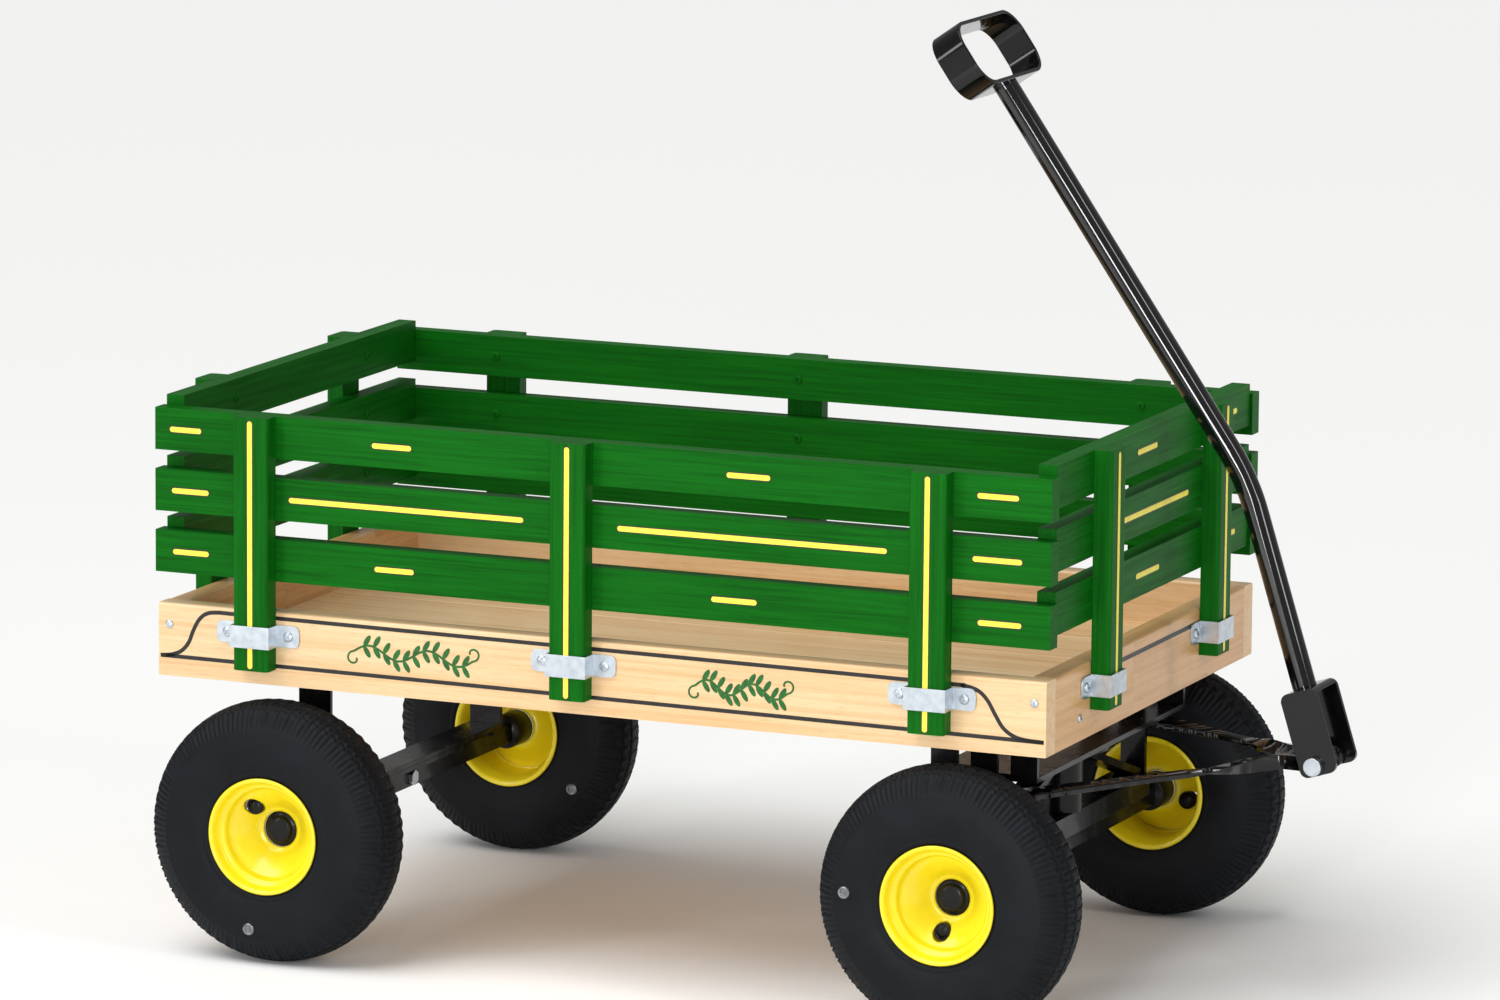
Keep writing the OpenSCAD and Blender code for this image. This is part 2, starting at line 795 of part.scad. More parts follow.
// The handle's lower frame: origin on the bolt, +Z up the tube
module at_low() translate([pivot_x, 0, pivot_z]) rotate([0, -lean_low, 0]) children();

// The handle's upper frame: origin at the bend corner, +Z up the tube
module at_high() at_low() translate([0, 0, low_l]) rotate([0, -bend_turn, 0]) children();

module yoke() {
    body_h = yoke_h + yoke_drop;
    at_low() difference() {
        translate([yoke_shift, yoke_out, (yoke_h - yoke_drop) / 2])
            rotate([90, 0, 0]) linear_extrude(2 * yoke_out) round_rect(yoke_w, body_h, yoke_r);
        translate([-yoke_w, -yoke_gap, -yoke_drop - cut])
            cube([2 * yoke_w + 2 * yoke_shift, 2 * yoke_gap, body_h - yoke_t + cut]);
        translate([0, -yoke_out - cut, 0]) rotate([-90, 0, 0])
            cylinder(r = bolt_r + run_clear, h = 2 * (yoke_out + cut));
    }
}

// Tube from the yoke's top to the grip, with one large bend
module handle_tube() {
    low_end = low_l - bend_trim;
    ring_out = handle_d / 2;
    ring_in = ring_out - handle_wall;
    at_low() translate([0, 0, yoke_h]) tube_length(low_end - yoke_h, ring_out, ring_in);
    at_low() translate([-bend_r, 0, low_end]) rotate([90, 0, 0])
        rotate_extrude(angle = bend_turn, $fn = 96) translate([bend_r, 0])
            difference() {
                circle(ring_out, $fn = 48);
                circle(ring_in, $fn = 48);
            }
    at_high() translate([0, 0, bend_trim]) tube_length(high_l - bend_trim, ring_out, ring_in);
}

module tube_length(l, out_r, in_r) {
    difference() {
        cylinder(r = out_r, h = l, $fn = 48);
        translate([0, 0, -cut]) cylinder(r = in_r, h = l + 2 * cut, $fn = 48);
    }
}

// Closed loop of flat strip across the top of the handle
module grip() {
    at_high() translate([-grip_strip / 2, 0, high_l + grip_h / 2])
        rotate([90, 0, 90]) linear_extrude(grip_strip) difference() {
            round_rect(grip_w, grip_h, grip_corner);
            round_rect(grip_w - 2 * grip_t, grip_h - 2 * grip_t, grip_corner - grip_t);
        }
}

// --- Wheels ----------------------------------------------------------------

// Wheel frame: axle along +Z, which points out of the wagon, middle plane on z = 0
module at_wheel(x, side) {
    on_side(side) translate([x, wheel_y, axle_z]) rotate([-90, 0, 0]) children();
}

module tyre() {
    rotate_extrude($fn = 96) difference() {
        union() {
            translate([tyre_wall_centre, 0]) circle(tyre_wall_r);
            translate([tyre_wall_centre, -tread_half])
                square([axle_z - tyre_wall_centre - tread_round, 2 * tread_half]);
            translate([tyre_wall_centre, -tread_half + tread_round])
                square([axle_z - tyre_wall_centre, 2 * (tread_half - tread_round)]);
            for (e = [-1, 1])
                translate([axle_z - tread_round, e * (tread_half - tread_round)])
                    circle(tread_round);
        }
        translate([0, -tyre_w]) square([rim_bed_r, 2 * tyre_w]);
        for (e = [-1, 1])
            translate([0, e * (rim_w / 2 - rim_t - flange_room + tyre_w / 2) - tyre_w / 2])
                square([rim_d / 2 + flange_room, tyre_w]);
    }
}

// Rim with two flanges and a stepped dish down to the hub
module rim() {
    half = rim_w / 2;
    difference() {
        rotate_extrude($fn = 96) {
            for (e = [-1, 1]) {
                translate([rim_bed_r - rim_t, e * (half - rim_t / 2) - rim_t / 2])
                    square([rim_d / 2 - rim_bed_r + rim_t - rim_t / 2, rim_t]);
                translate([rim_d / 2 - rim_t / 2, e * (half - rim_t / 2)]) circle(rim_t / 2, $fn = 24);
            }
            translate([rim_bed_r - rim_t, -half]) square([rim_t, rim_w]);
            translate([dish_step_r, dish_step_y - rim_t])
                square([rim_bed_r - rim_t / 2 - dish_step_r, rim_t]);
            polygon([[hub_r, dish_floor_y], [hub_r + dish_foot + rim_t / 2, dish_floor_y],
                     [dish_step_r + rim_t / 2, dish_step_y - rim_t],
                     [dish_step_r + rim_t, dish_step_y], [dish_step_r, dish_step_y],
                     [hub_r + dish_foot, dish_floor_y + rim_t], [hub_r, dish_floor_y + rim_t]]);
        }
        translate([0, valve_hole_at, -rim_w]) cylinder(r = valve_hole_r, h = 2 * rim_w, $fn = 32);
    }
}

module hub() {
    difference() {
        translate([0, 0, hub_in]) cylinder(r = hub_r, h = hub_out - hub_in);
        translate([0, 0, hub_in - cut])
            cylinder(r = spindle_r + run_clear, h = hub_out - hub_in - hub_floor + cut);
    }
}

// --- Drawn pieces ----------------------------------------------------------

wood = "#e9c28a";
green = "#126b16";
zinc = "#a9b4bd";
black = "#15151a";
yellow = "#f7e31a";
rubber = "#202225";

module wood_part() color(wood) place() children();
module green_part() color(green) place() children();
module zinc_part() color(zinc) place() children();
module black_part() color(black) place() children();
module yellow_part() color(yellow) place() children();
module rubber_part() color(rubber) place() children();

wood_part() on_side("right") bed_side();  // bed_side_right
wood_part() on_side("left") bed_side();  // bed_side_left
wood_part() on_end("front") bed_end();  // bed_end_front
wood_part() on_end("rear") bed_end();  // bed_end_rear
wood_part() deck_boards();
wood_part() deck_cleats();
zinc_part() bed_screws();
zinc_part() stake_brackets();
zinc_part() bracket_screws();
green_part() on_side("right") side_slat(2);  // rack_right_slat_top
green_part() on_side("right") side_slat(1);  // rack_right_slat_middle
green_part() on_side("right") side_slat(0);  // rack_right_slat_bottom
green_part() on_side("right") side_stakes_left();  // rack_right_stakes
zinc_part() on_side("right") side_rack_screws();  // rack_right_screws
green_part() on_side("left") side_slat(2);  // rack_left_slat_top
green_part() on_side("left") side_slat(1);  // rack_left_slat_middle
green_part() on_side("left") side_slat(0);  // rack_left_slat_bottom
green_part() on_side("left") side_stakes_left();  // rack_left_stakes
zinc_part() on_side("left") side_rack_screws();  // rack_left_screws
green_part() on_end("front") end_slat(2);  // rack_front_slat_top
green_part() on_end("front") end_slat(1);  // rack_front_slat_middle
green_part() on_end("front") end_slat(0);  // rack_front_slat_bottom
green_part() on_end("front") end_stakes_front();  // rack_front_stakes
zinc_part() on_end("front") end_rack_screws();  // rack_front_screws
green_part() on_end("rear") end_slat(2);  // rack_rear_slat_top
green_part() on_end("rear") end_slat(1);  // rack_rear_slat_middle
green_part() on_end("rear") end_slat(0);  // rack_rear_slat_bottom
green_part() on_end("rear") end_stakes_front();  // rack_rear_stakes
zinc_part() on_end("rear") end_rack_screws();  // rack_rear_screws
black_part() rear_bolster();
black_part() rear_axle();
black_part() front_bolster();
zinc_part() bolster_bolts();
zinc_part() kingpin();
black_part() fork_plate();
black_part() fork_tube();
black_part() fork_beam();
black_part() fork_braces();
black_part() fork_posts();
zinc_part() fork_bolts();
black_part() front_axle();
black_part() on_side("right") tongue_bar();  // tongue_bar_right
black_part() on_side("left") tongue_bar();  // tongue_bar_left
zinc_part() handle_bolt();
black_part() yoke();  // handle_yoke
black_part() handle_tube();
black_part() grip();  // handle_grip
rubber_part() at_wheel(-rear_axle_x, "right") tyre();  // tyre_rear_right
yellow_part() at_wheel(-rear_axle_x, "right") rim();  // rim_rear_right
black_part() at_wheel(-rear_axle_x, "right") hub();  // hub_rear_right
rubber_part() at_wheel(-rear_axle_x, "left") tyre();  // tyre_rear_left
yellow_part() at_wheel(-rear_axle_x, "left") rim();  // rim_rear_left
black_part() at_wheel(-rear_axle_x, "left") hub();  // hub_rear_left
rubber_part() at_wheel(front_axle_x, "right") tyre();  // tyre_front_right
yellow_part() at_wheel(front_axle_x, "right") rim();  // rim_front_right
black_part() at_wheel(front_axle_x, "right") hub();  // hub_front_right
rubber_part() at_wheel(front_axle_x, "left") tyre();  // tyre_front_left
yellow_part() at_wheel(front_axle_x, "left") rim();  // rim_front_left
black_part() at_wheel(front_axle_x, "left") hub();  // hub_front_left
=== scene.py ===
"""Kids pull wagon: finishes, painted lines, tread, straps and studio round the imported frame."""
import json
import math

import bmesh
import bpy
from mathutils import Matrix, Vector

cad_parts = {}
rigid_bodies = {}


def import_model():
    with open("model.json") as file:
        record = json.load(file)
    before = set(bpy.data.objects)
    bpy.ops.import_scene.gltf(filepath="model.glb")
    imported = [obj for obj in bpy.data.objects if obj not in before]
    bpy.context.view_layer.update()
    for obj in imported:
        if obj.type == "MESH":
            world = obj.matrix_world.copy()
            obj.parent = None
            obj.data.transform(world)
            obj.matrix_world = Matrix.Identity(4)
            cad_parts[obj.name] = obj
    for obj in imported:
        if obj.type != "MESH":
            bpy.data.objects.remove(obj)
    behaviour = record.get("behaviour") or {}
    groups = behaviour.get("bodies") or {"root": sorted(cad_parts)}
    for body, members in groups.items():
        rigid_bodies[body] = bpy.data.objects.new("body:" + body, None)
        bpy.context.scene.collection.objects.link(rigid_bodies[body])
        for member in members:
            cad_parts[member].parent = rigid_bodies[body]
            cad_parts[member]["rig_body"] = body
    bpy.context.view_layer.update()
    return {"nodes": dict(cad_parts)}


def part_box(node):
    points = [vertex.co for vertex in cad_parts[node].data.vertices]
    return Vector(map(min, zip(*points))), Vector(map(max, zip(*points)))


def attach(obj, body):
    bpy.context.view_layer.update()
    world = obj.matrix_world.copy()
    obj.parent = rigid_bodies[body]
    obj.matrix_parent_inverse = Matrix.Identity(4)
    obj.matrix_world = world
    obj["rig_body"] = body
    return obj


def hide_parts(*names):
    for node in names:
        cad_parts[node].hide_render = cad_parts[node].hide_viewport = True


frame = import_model()
nodes = frame["nodes"]

MM = 0.001
SIDES = {"right": -1, "left": 1}
ENDS = {"rear": -1, "front": 1}


def middle(node):
    """Middle of a CAD node's box."""
    low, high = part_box(node)
    return (low + high) / 2


bed_low, bed_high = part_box("bed_side_right")
bed_mid_x = (bed_low.x + bed_high.x) / 2
bed_top_z = bed_high.z
bed_half_w = -bed_low.y
bolt = middle("handle_bolt")


def on_bed(x, y, z):
    """A point given in millimetres from the bed's middle and the ground."""
    return Vector((bed_mid_x + x * MM, y * MM, z * MM))


# --- Finishes ---------------------------------------------------------------


def colour(hex_value):
    """An sRGB hex value as a linear colour."""
    parts = [int(hex_value[i:i + 2], 16) / 255 for i in (1, 3, 5)]
    return tuple(p / 12.92 if p <= 0.04045 else ((p + 0.055) / 1.055) ** 2.4 for p in parts) + (1,)


def add(material, kind, inputs=None, **settings):
    """One node in a material's tree, with its settings, values and links."""
    made = material.node_tree.nodes.new(kind)
    for name, value in settings.items():
        setattr(made, name, value)
    for socket, value in (inputs or {}).items():
        if isinstance(value, bpy.types.NodeSocket):
            material.node_tree.links.new(value, made.inputs[socket])
        else:
            made.inputs[socket].default_value = value
    return made


def finish_of(name, shade=None, **values):
    """A material with one shader; returns the material and its shader."""
    material = bpy.data.materials.new(name)
    material.use_nodes = True
    shader = material.node_tree.nodes["Principled BSDF"]
    if shade:
        shader.inputs["Base Color"].default_value = colour(shade)
        material.diffuse_color = colour(shade)
    for socket, value in values.items():
        shader.inputs[socket.replace("_", " ")].default_value = value
    return material, shader


def link(material, source, target):
    material.node_tree.links.new(source, target)


def ramp(material, fac, stops):
    """Colours blended along a factor, given as (position, hex) pairs."""
    made = add(material, "ShaderNodeValToRGB", {"Fac": fac})
    elements = made.color_ramp.elements
    while len(elements) < len(stops):
        elements.new(0.5)
    for element, (position, shade) in zip(elements, stops):
        element.position = position
        element.color = colour(shade)
    return made.outputs["Color"]


def along(direction, across, lengthwise):
    """Pattern scale per metre: fine across the grain, long with it."""
    return [lengthwise if axis == direction else across for axis in "XYZ"]


# Metres from one deck board's middle to the next
DECK_PITCH = 0.1047
# Growth lines from dark to light and back, then the broad figure's two shades
PALE_MAPLE = ("#cf9f67", "#deb785", "#e7c699", "#d8ab76", "#dbaf7b", "#e8cba0")
# The maple along Y, on the end boards and the cleats, is the same wood drawn darker and more orange
# than the side boards' copy: painted shade for end faces that turn away from the light
SHADED_MAPLE = ("#c28b54", "#d4a36a", "#e0b57f", "#cb965f", "#d19c65", "#e1b884")


def maple(direction, shades):
    """Hard maple, planed and clear lacquered: cream with faint tan growth lines
    that run with the board, tiny pore flecks and a soft satin coat."""
    m, shader = finish_of("maple_lacquered_along_" + direction, "#edcb98",
                          Coat_Weight=0.25, Coat_Roughness=0.22, IOR=1.5)
    place = add(m, "ShaderNodeTexCoord").outputs["Object"]
    # each deck board is cut from its own plank
    plank = add(m, "ShaderNodeMath", {0: add(m, "ShaderNodeSeparateXYZ", {0: place}).outputs["Y"],
                                      1: DECK_PITCH}, operation="DIVIDE")
    plank = add(m, "ShaderNodeMath", {0: plank.outputs[0], 1: 0.5}, operation="ADD")
    plank = add(m, "ShaderNodeMath", {0: plank.outputs[0]}, operation="FLOOR")
    shift = add(m, "ShaderNodeCombineXYZ", {0: plank.outputs[0], 1: 0.0, 2: plank.outputs[0]})
    place = add(m, "ShaderNodeVectorMath", {0: place, 1: shift.outputs[0]},
                operation="ADD").outputs[0]
    # growth lines about 7 mm apart and 300 mm long
    rings_at = add(m, "ShaderNodeMapping", {"Vector": place, "Scale": along(direction, 140, 3.2)})
    rings = add(m, "ShaderNodeTexNoise", {"Vector": rings_at.outputs[0], "Scale": 1.0,
                                          "Detail": 4.0, "Roughness": 0.55, "Distortion": 0.6})
    # broad figure about 60 mm wide
    figure_at = add(m, "ShaderNodeMapping", {"Vector": place, "Scale": along(direction, 16, 1.4)})
    figure = add(m, "ShaderNodeTexNoise", {"Vector": figure_at.outputs[0], "Scale": 1.0,
                                           "Detail": 2.0})
    # pore flecks, 0.8 mm by 20 mm: about twice as coarse as real ones, so that they show
    pores_at = add(m, "ShaderNodeMapping", {"Vector": place, "Scale": along(direction, 1200, 50)})
    pores = add(m, "ShaderNodeTexNoise", {"Vector": pores_at.outputs[0], "Scale": 1.0,
                                          "Detail": 2.0})
    grain = ramp(m, rings.outputs["Fac"], list(zip((0.30, 0.46, 0.60, 0.78), shades)))
    broad = ramp(m, figure.outputs["Fac"], list(zip((0.35, 0.65), shades[4:])))
    flecks = ramp(m, pores.outputs["Fac"], [(0.30, "#c8955c"), (0.42, "#ffffff")])
    mixed = blend_colours(m, 0.4, grain, broad)
    mixed = blend_colours(m, 0.35, mixed, flecks, "MULTIPLY")
    link(m, mixed, shader.inputs["Base Color"])
    dull = add(m, "ShaderNodeMapRange", {"Value": rings.outputs["Fac"], "To Min": 0.36,
                                         "To Max": 0.50})
    link(m, dull.outputs[0], shader.inputs["Roughness"])
    relief = add(m, "ShaderNodeBump", {"Strength": 0.12, "Distance": 0.0004,
                                       "Height": pores.outputs["Fac"]})
    link(m, relief.outputs[0], shader.inputs["Normal"])
    return m


def blend_colours(m, share, first, second, how="MIX"):
    """Two colours mixed by a share, which is a number or another node's output."""
    mix = add(m, "ShaderNodeMix", data_type="RGBA", blend_type=how)
    for socket, value in ((0, share), (6, first), (7, second)):
        if isinstance(value, bpy.types.NodeSocket):
            link(m, value, mix.inputs[socket])
        else:
            mix.inputs[socket].default_value = value
    return mix.outputs[2]


def green_paint(direction):
    """Semi-gloss green enamel brushed on softwood: the raised grain telegraphs through
    as fine lines, a little darker in the grooves."""
    m, shader = finish_of("green_enamel_along_" + direction, "#116b17",
                          IOR=1.48, Specular_IOR_Level=0.07)
    place = add(m, "ShaderNodeTexCoord").outputs["Object"]
    # raised grain about 3 mm apart and 120 mm long
    grain_at = add(m, "ShaderNodeMapping", {"Vector": place, "Scale": along(direction, 320, 8)})
    grain = add(m, "ShaderNodeTexNoise", {"Vector": grain_at.outputs[0], "Scale": 1.0,
                                          "Detail": 5.0, "Roughness": 0.62, "Distortion": 0.3})
    cloud_at = add(m, "ShaderNodeMapping", {"Vector": place, "Scale": along(direction, 22, 5)})
    cloud = add(m, "ShaderNodeTexNoise", {"Vector": cloud_at.outputs[0], "Scale": 1.0,
                                          "Detail": 2.0})
    lines = ramp(m, grain.outputs["Fac"], [(0.34, "#05430a"), (0.50, "#085c0e"), (0.68, "#0f6c14")])
    tone = ramp(m, cloud.outputs["Fac"], [(0.35, "#08530c"), (0.65, "#0c6311")])
    link(m, blend_colours(m, 0.45, lines, tone), shader.inputs["Base Color"])
    dull = add(m, "ShaderNodeMapRange", {"Value": grain.outputs["Fac"], "To Min": 0.52,
                                         "To Max": 0.34})
    link(m, dull.outputs[0], shader.inputs["Roughness"])
    relief = add(m, "ShaderNodeBump", {"Strength": 0.35, "Distance": 0.0006,
                                       "Height": grain.outputs["Fac"]})
    link(m, relief.outputs[0], shader.inputs["Normal"])
    return m


def plated(name, shades):
    """Plated steel: bluish grey, slightly blotchy and brushed."""
    m, shader = finish_of(name, shades[1], Metallic=1.0)
    place = add(m, "ShaderNodeTexCoord").outputs["Object"]
    # blotches about 8 mm across, and plating grain of 0.6 mm, drawn coarser to show
    blotch = add(m, "ShaderNodeTexNoise", {"Vector": place, "Scale": 120.0, "Detail": 3.0})
    grit = add(m, "ShaderNodeTexNoise", {"Vector": place, "Scale": 1500.0, "Detail": 1.0})
    link(m, ramp(m, blotch.outputs["Fac"], list(zip((0.3, 0.55, 0.8), shades))),
         shader.inputs["Base Color"])
    dull = add(m, "ShaderNodeMapRange", {"Value": blotch.outputs["Fac"], "To Min": 0.42,
                                         "To Max": 0.26})
    link(m, dull.outputs[0], shader.inputs["Roughness"])
    relief = add(m, "ShaderNodeBump", {"Strength": 0.12, "Distance": 0.0002,
                                       "Height": grit.outputs["Fac"]})
    link(m, relief.outputs[0], shader.inputs["Normal"])
    return m


def black_gloss(name, low, high, lumps, coat, shine):
    """Black powder coat on steel: deep gloss with a faint orange peel and dulled patches."""
    m, shader = finish_of(name, "#0d0d0f", Coat_Weight=coat, Coat_Roughness=0.05, IOR=1.5,
                          Specular_IOR_Level=shine)
    place = add(m, "ShaderNodeTexCoord").outputs["Object"]
    peel = add(m, "ShaderNodeTexNoise", {"Vector": place, "Scale": lumps, "Detail": 2.0})
    scuffs = add(m, "ShaderNodeTexNoise", {"Vector": place, "Scale": 35.0, "Detail": 5.0,
                                           "Roughness": 0.7})
    link(m, ramp(m, scuffs.outputs["Fac"], [(0.35, "#070708"), (0.75, "#101012")]),
         shader.inputs["Base Color"])
    dull = add(m, "ShaderNodeMapRange", {"Value": scuffs.outputs["Fac"], "From Min": 0.3,
                                         "From Max": 0.8, "To Min": low, "To Max": high})
    link(m, dull.outputs[0], shader.inputs["Roughness"])
    relief = add(m, "ShaderNodeBump", {"Strength": 0.10, "Distance": 0.0003,
                                       "Height": peel.outputs["Fac"]})
    link(m, relief.outputs[0], shader.inputs["Normal"])
    return m


def tyre_rubber():
    """Vulcanised black tyre rubber: matt charcoal, fine moulded grain, dusty high spots."""
    m, shader = finish_of("tyre_rubber", "#101216", IOR=1.52, Specular_IOR_Level=0.15)
    place = add(m, "ShaderNodeTexCoord").outputs["Object"]
    # mould grain of about 1 mm, and dust patches about 40 mm across
    grain = add(m, "ShaderNodeTexNoise", {"Vector": place, "Scale": 900.0, "Detail": 2.0})
    dust = add(m, "ShaderNodeTexNoise", {"Vector": place, "Scale": 25.0, "Detail": 4.0,
                                         "Roughness": 0.6})
    link(m, ramp(m, dust.outputs["Fac"], [(0.3, "#090b0e"), (0.7, "#12151a")]),
         shader.inputs["Base Color"])
    dull = add(m, "ShaderNodeMapRange", {"Value": dust.outputs["Fac"], "To Min": 0.46,
                                         "To Max": 0.66})
    link(m, dull.outputs[0], shader.inputs["Roughness"])
    relief = add(m, "ShaderNodeBump", {"Strength": 0.20, "Distance": 0.0003,
                                       "Height": grain.outputs["Fac"]})
    link(m, relief.outputs[0], shader.inputs["Normal"])
    return m


def yellow_enamel():
    """Gloss yellow stoving enamel on pressed steel rims: even, with a faint orange peel."""
    m, shader = finish_of("yellow_stoved_enamel", "#f0da18", Coat_Weight=0.3,
                          Coat_Roughness=0.06, IOR=1.5)
    place = add(m, "ShaderNodeTexCoord").outputs["Object"]
    peel = add(m, "ShaderNodeTexNoise", {"Vector": place, "Scale": 500.0, "Detail": 1.0})
    tone = add(m, "ShaderNodeTexNoise", {"Vector": place, "Scale": 30.0, "Detail": 3.0})
    link(m, ramp(m, tone.outputs["Fac"], [(0.3, "#ebd412"), (0.7, "#f3de20")]),
         shader.inputs["Base Color"])
    dull = add(m, "ShaderNodeMapRange", {"Value": tone.outputs["Fac"], "To Min": 0.24,
                                         "To Max": 0.36})
    link(m, dull.outputs[0], shader.inputs["Roughness"])
    relief = add(m, "ShaderNodeBump", {"Strength": 0.06, "Distance": 0.0002,
                                       "Height": peel.outputs["Fac"]})
    link(m, relief.outputs[0], shader.inputs["Normal"])
    return m


def sign_paint(name, dark, light):
    """Hand-striping enamel: an even satin line that thins a little in places."""
    m, shader = finish_of(name, light, IOR=1.48)
    place = add(m, "ShaderNodeTexCoord").outputs["Object"]
    brush = add(m, "ShaderNodeTexNoise", {"Vector": place, "Scale": 220.0, "Detail": 3.0})
    link(m, ramp(m, brush.outputs["Fac"], [(0.3, dark), (0.6, light)]),
         shader.inputs["Base Color"])
    dull = add(m, "ShaderNodeMapRange", {"Value": brush.outputs["Fac"], "To Min": 0.35,
                                         "To Max": 0.48})
    link(m, dull.outputs[0], shader.inputs["Roughness"])
    return m


finishes = {
    # maple_y is the darker, more orange copy of the maple: painted shade on the end boards
    "maple_x": maple("X", PALE_MAPLE), "maple_y": maple("Y", SHADED_MAPLE),
    "green_x": green_paint("X"), "green_y": green_paint("Y"), "green_z": green_paint("Z"),
    "zinc": plated("zinc_plated_steel", ("#b6bec6", "#c6ced5", "#d2d8de")),
    "nickel": plated("dulled_nickel", ("#6a6e72", "#85898d", "#a0a4a8")),
    "powder": black_gloss("black_powder_coat", 0.18, 0.34, 700.0, 0.15, 0.16),
    "gloss": black_gloss("black_gloss_enamel", 0.10, 0.18, 300.0, 0.40, 0.16),
    "tube": black_gloss("black_gloss_tube", 0.08, 0.14, 300.0, 1.0, 0.2),
    "cap": black_gloss("black_moulded_cap", 0.34, 0.50, 900.0, 0.1, 0.2),
    "rubber": tyre_rubber(),
    "enamel": yellow_enamel(),
    "stripe": sign_paint("yellow_striping_paint", "#ecd93a", "#f7ea4c"),
    "outline": sign_paint("black_striping_paint", "#0c0c0c", "#1c1a18"),
    "scroll": sign_paint("green_scroll_paint", "#0c4a12", "#15651c"),
}


# --- Making pieces ----------------------------------------------------------


def piece(name, bm, finish, body, node=None, smooth=True):
    """Turns a finished bmesh into a piece of the wagon that rides on a body."""
    mesh = bpy.data.meshes.new(name)
    bm.to_mesh(mesh)
    bm.free()
    mesh.materials.append(finishes[finish])
    mesh.polygons.foreach_set("use_smooth", [smooth] * len(mesh.polygons))
    obj = bpy.data.objects.new(name, mesh)
    bpy.context.scene.collection.objects.link(obj)
    if node:
        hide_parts(node)
    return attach(obj, body)


def round_over(obj, width, segments=2, flat=True):
    """Rounds a piece's sharp edges over by a width in millimetres. On a piece with flat
    faces the big ones rule the shading."""
    bevel = obj.modifiers.new("eased_edges", "BEVEL")
    bevel.width = width * MM
    bevel.segments = segments
    bevel.limit_method = "ANGLE"
    bevel.angle_limit = math.radians(32)
    bevel.use_clamp_overlap = True
    if flat:
        obj.modifiers.new("flat_faces", "WEIGHTED_NORMAL").weight = 80
    return obj


def eased(node, finish, width, segments=2):
    """A CAD node's own shape, joined up and with its sharp edges rounded over."""
    bm = bmesh.new()
    bm.from_mesh(nodes[node].data)
    bmesh.ops.remove_doubles(bm, verts=bm.verts, dist=2e-6)
    bmesh.ops.dissolve_limit(bm, angle_limit=math.radians(1.0), verts=bm.verts, edges=bm.edges,
                             delimit={"NORMAL"})
    return round_over(piece(node + "_eased", bm, finish, nodes[node]["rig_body"], node),
                      width, segments)


def loose_parts(node):
    """The boxes of a CAD node's separate solids, as (low, high) corners."""
    bm = bmesh.new()
    bm.from_mesh(nodes[node].data)
    bmesh.ops.remove_doubles(bm, verts=bm.verts, dist=2e-6)
    waiting, boxes = set(bm.verts), []
    while waiting:
        edge, seen = [waiting.pop()], []
        while edge:
            vert = edge.pop()
            seen.append(vert.co.copy())
            for linked in vert.link_edges:
                other = linked.other_vert(vert)
                if other in waiting:
                    waiting.discard(other)
                    edge.append(other)
        boxes.append(tuple(Vector([pick(c[axis] for c in seen) for axis in range(3)])
                           for pick in (min, max)))
    bm.free()
    return sorted(boxes, key=lambda b: tuple(round(v, 4) for v in b[0]))


def facing(origin, outward, ahead):
    """A place whose Z points outward and whose X runs ahead."""
    z = Vector(outward).normalized()
    x = (Vector(ahead) - Vector(ahead).dot(z) * z).normalized()
    return Matrix.Translation(origin) @ Matrix((x, z.cross(x), z)).transposed().to_4x4()


def sweep(bm, outline, places):
    """Carries a closed outline, given in each place's XY plane, through a row of places."""
    face = bm.faces.new([bm.verts.new(places[0] @ Vector((u, v, 0))) for u, v in outline])
    for before, after in zip(places, places[1:]):
        made = bmesh.ops.extrude_face_region(bm, geom=[face])["geom"]
        bmesh.ops.transform(bm, matrix=after @ before.inverted(),
                            verts=[g for g in made if isinstance(g, bmesh.types.BMVert)])
        face = next(g for g in made if isinstance(g, bmesh.types.BMFace))


def turned(outline, steps=64, axis=(0, 0, 1)):
    """A lathe shape from (radius, height) points, spun about Z and closed."""
    bm = bmesh.new()
    verts = [bm.verts.new((r, 0, z)) for r, z in outline]
    edges = [bm.edges.new(pair) for pair in zip(verts, verts[1:])]
    bmesh.ops.spin(bm, geom=verts + edges, cent=(0, 0, 0), axis=axis, angle=math.tau,
                   steps=steps, use_merge=True)
    bmesh.ops.remove_doubles(bm, verts=bm.verts, dist=1e-6)
    bmesh.ops.recalc_face_normals(bm, faces=bm.faces)
    return bm


def copies(source, places):
    """One bmesh that holds a copy of the source at each place. The source is used up."""
    mesh = bpy.data.meshes.new("pattern")
    source.to_mesh(mesh)
    source.free()
    bm = bmesh.new()
    for place in places:
        before = len(bm.verts)
        bm.from_mesh(mesh)
        bm.verts.ensure_lookup_table()
        added = bm.verts[before:]
        bmesh.ops.transform(bm, matrix=place, verts=added)
        if place.determinant() < 0:
            bmesh.ops.reverse_faces(bm, faces=list({f for v in added for f in v.link_faces}))
    bpy.data.meshes.remove(mesh)
    return bm


def carved(body, cutter):
    """The body bmesh with the cutter bmesh's shape taken out of it."""
    things = []
    for part in (body, cutter):
        mesh = bpy.data.meshes.new("carving")
        part.to_mesh(mesh)
        part.free()
        things.append(bpy.data.objects.new("carving", mesh))
        bpy.context.scene.collection.objects.link(things[-1])
    cut = things[0].modifiers.new("cut", "BOOLEAN")
    cut.operation, cut.solver, cut.object = "DIFFERENCE", "EXACT", things[1]
    bpy.context.view_layer.update()
    result = things[0].evaluated_get(bpy.context.evaluated_depsgraph_get()).to_mesh()
    bm = bmesh.new()
    bm.from_mesh(result)
    for thing in things:
        mesh = thing.data
        bpy.data.objects.remove(thing)
        bpy.data.meshes.remove(mesh)
    return bm


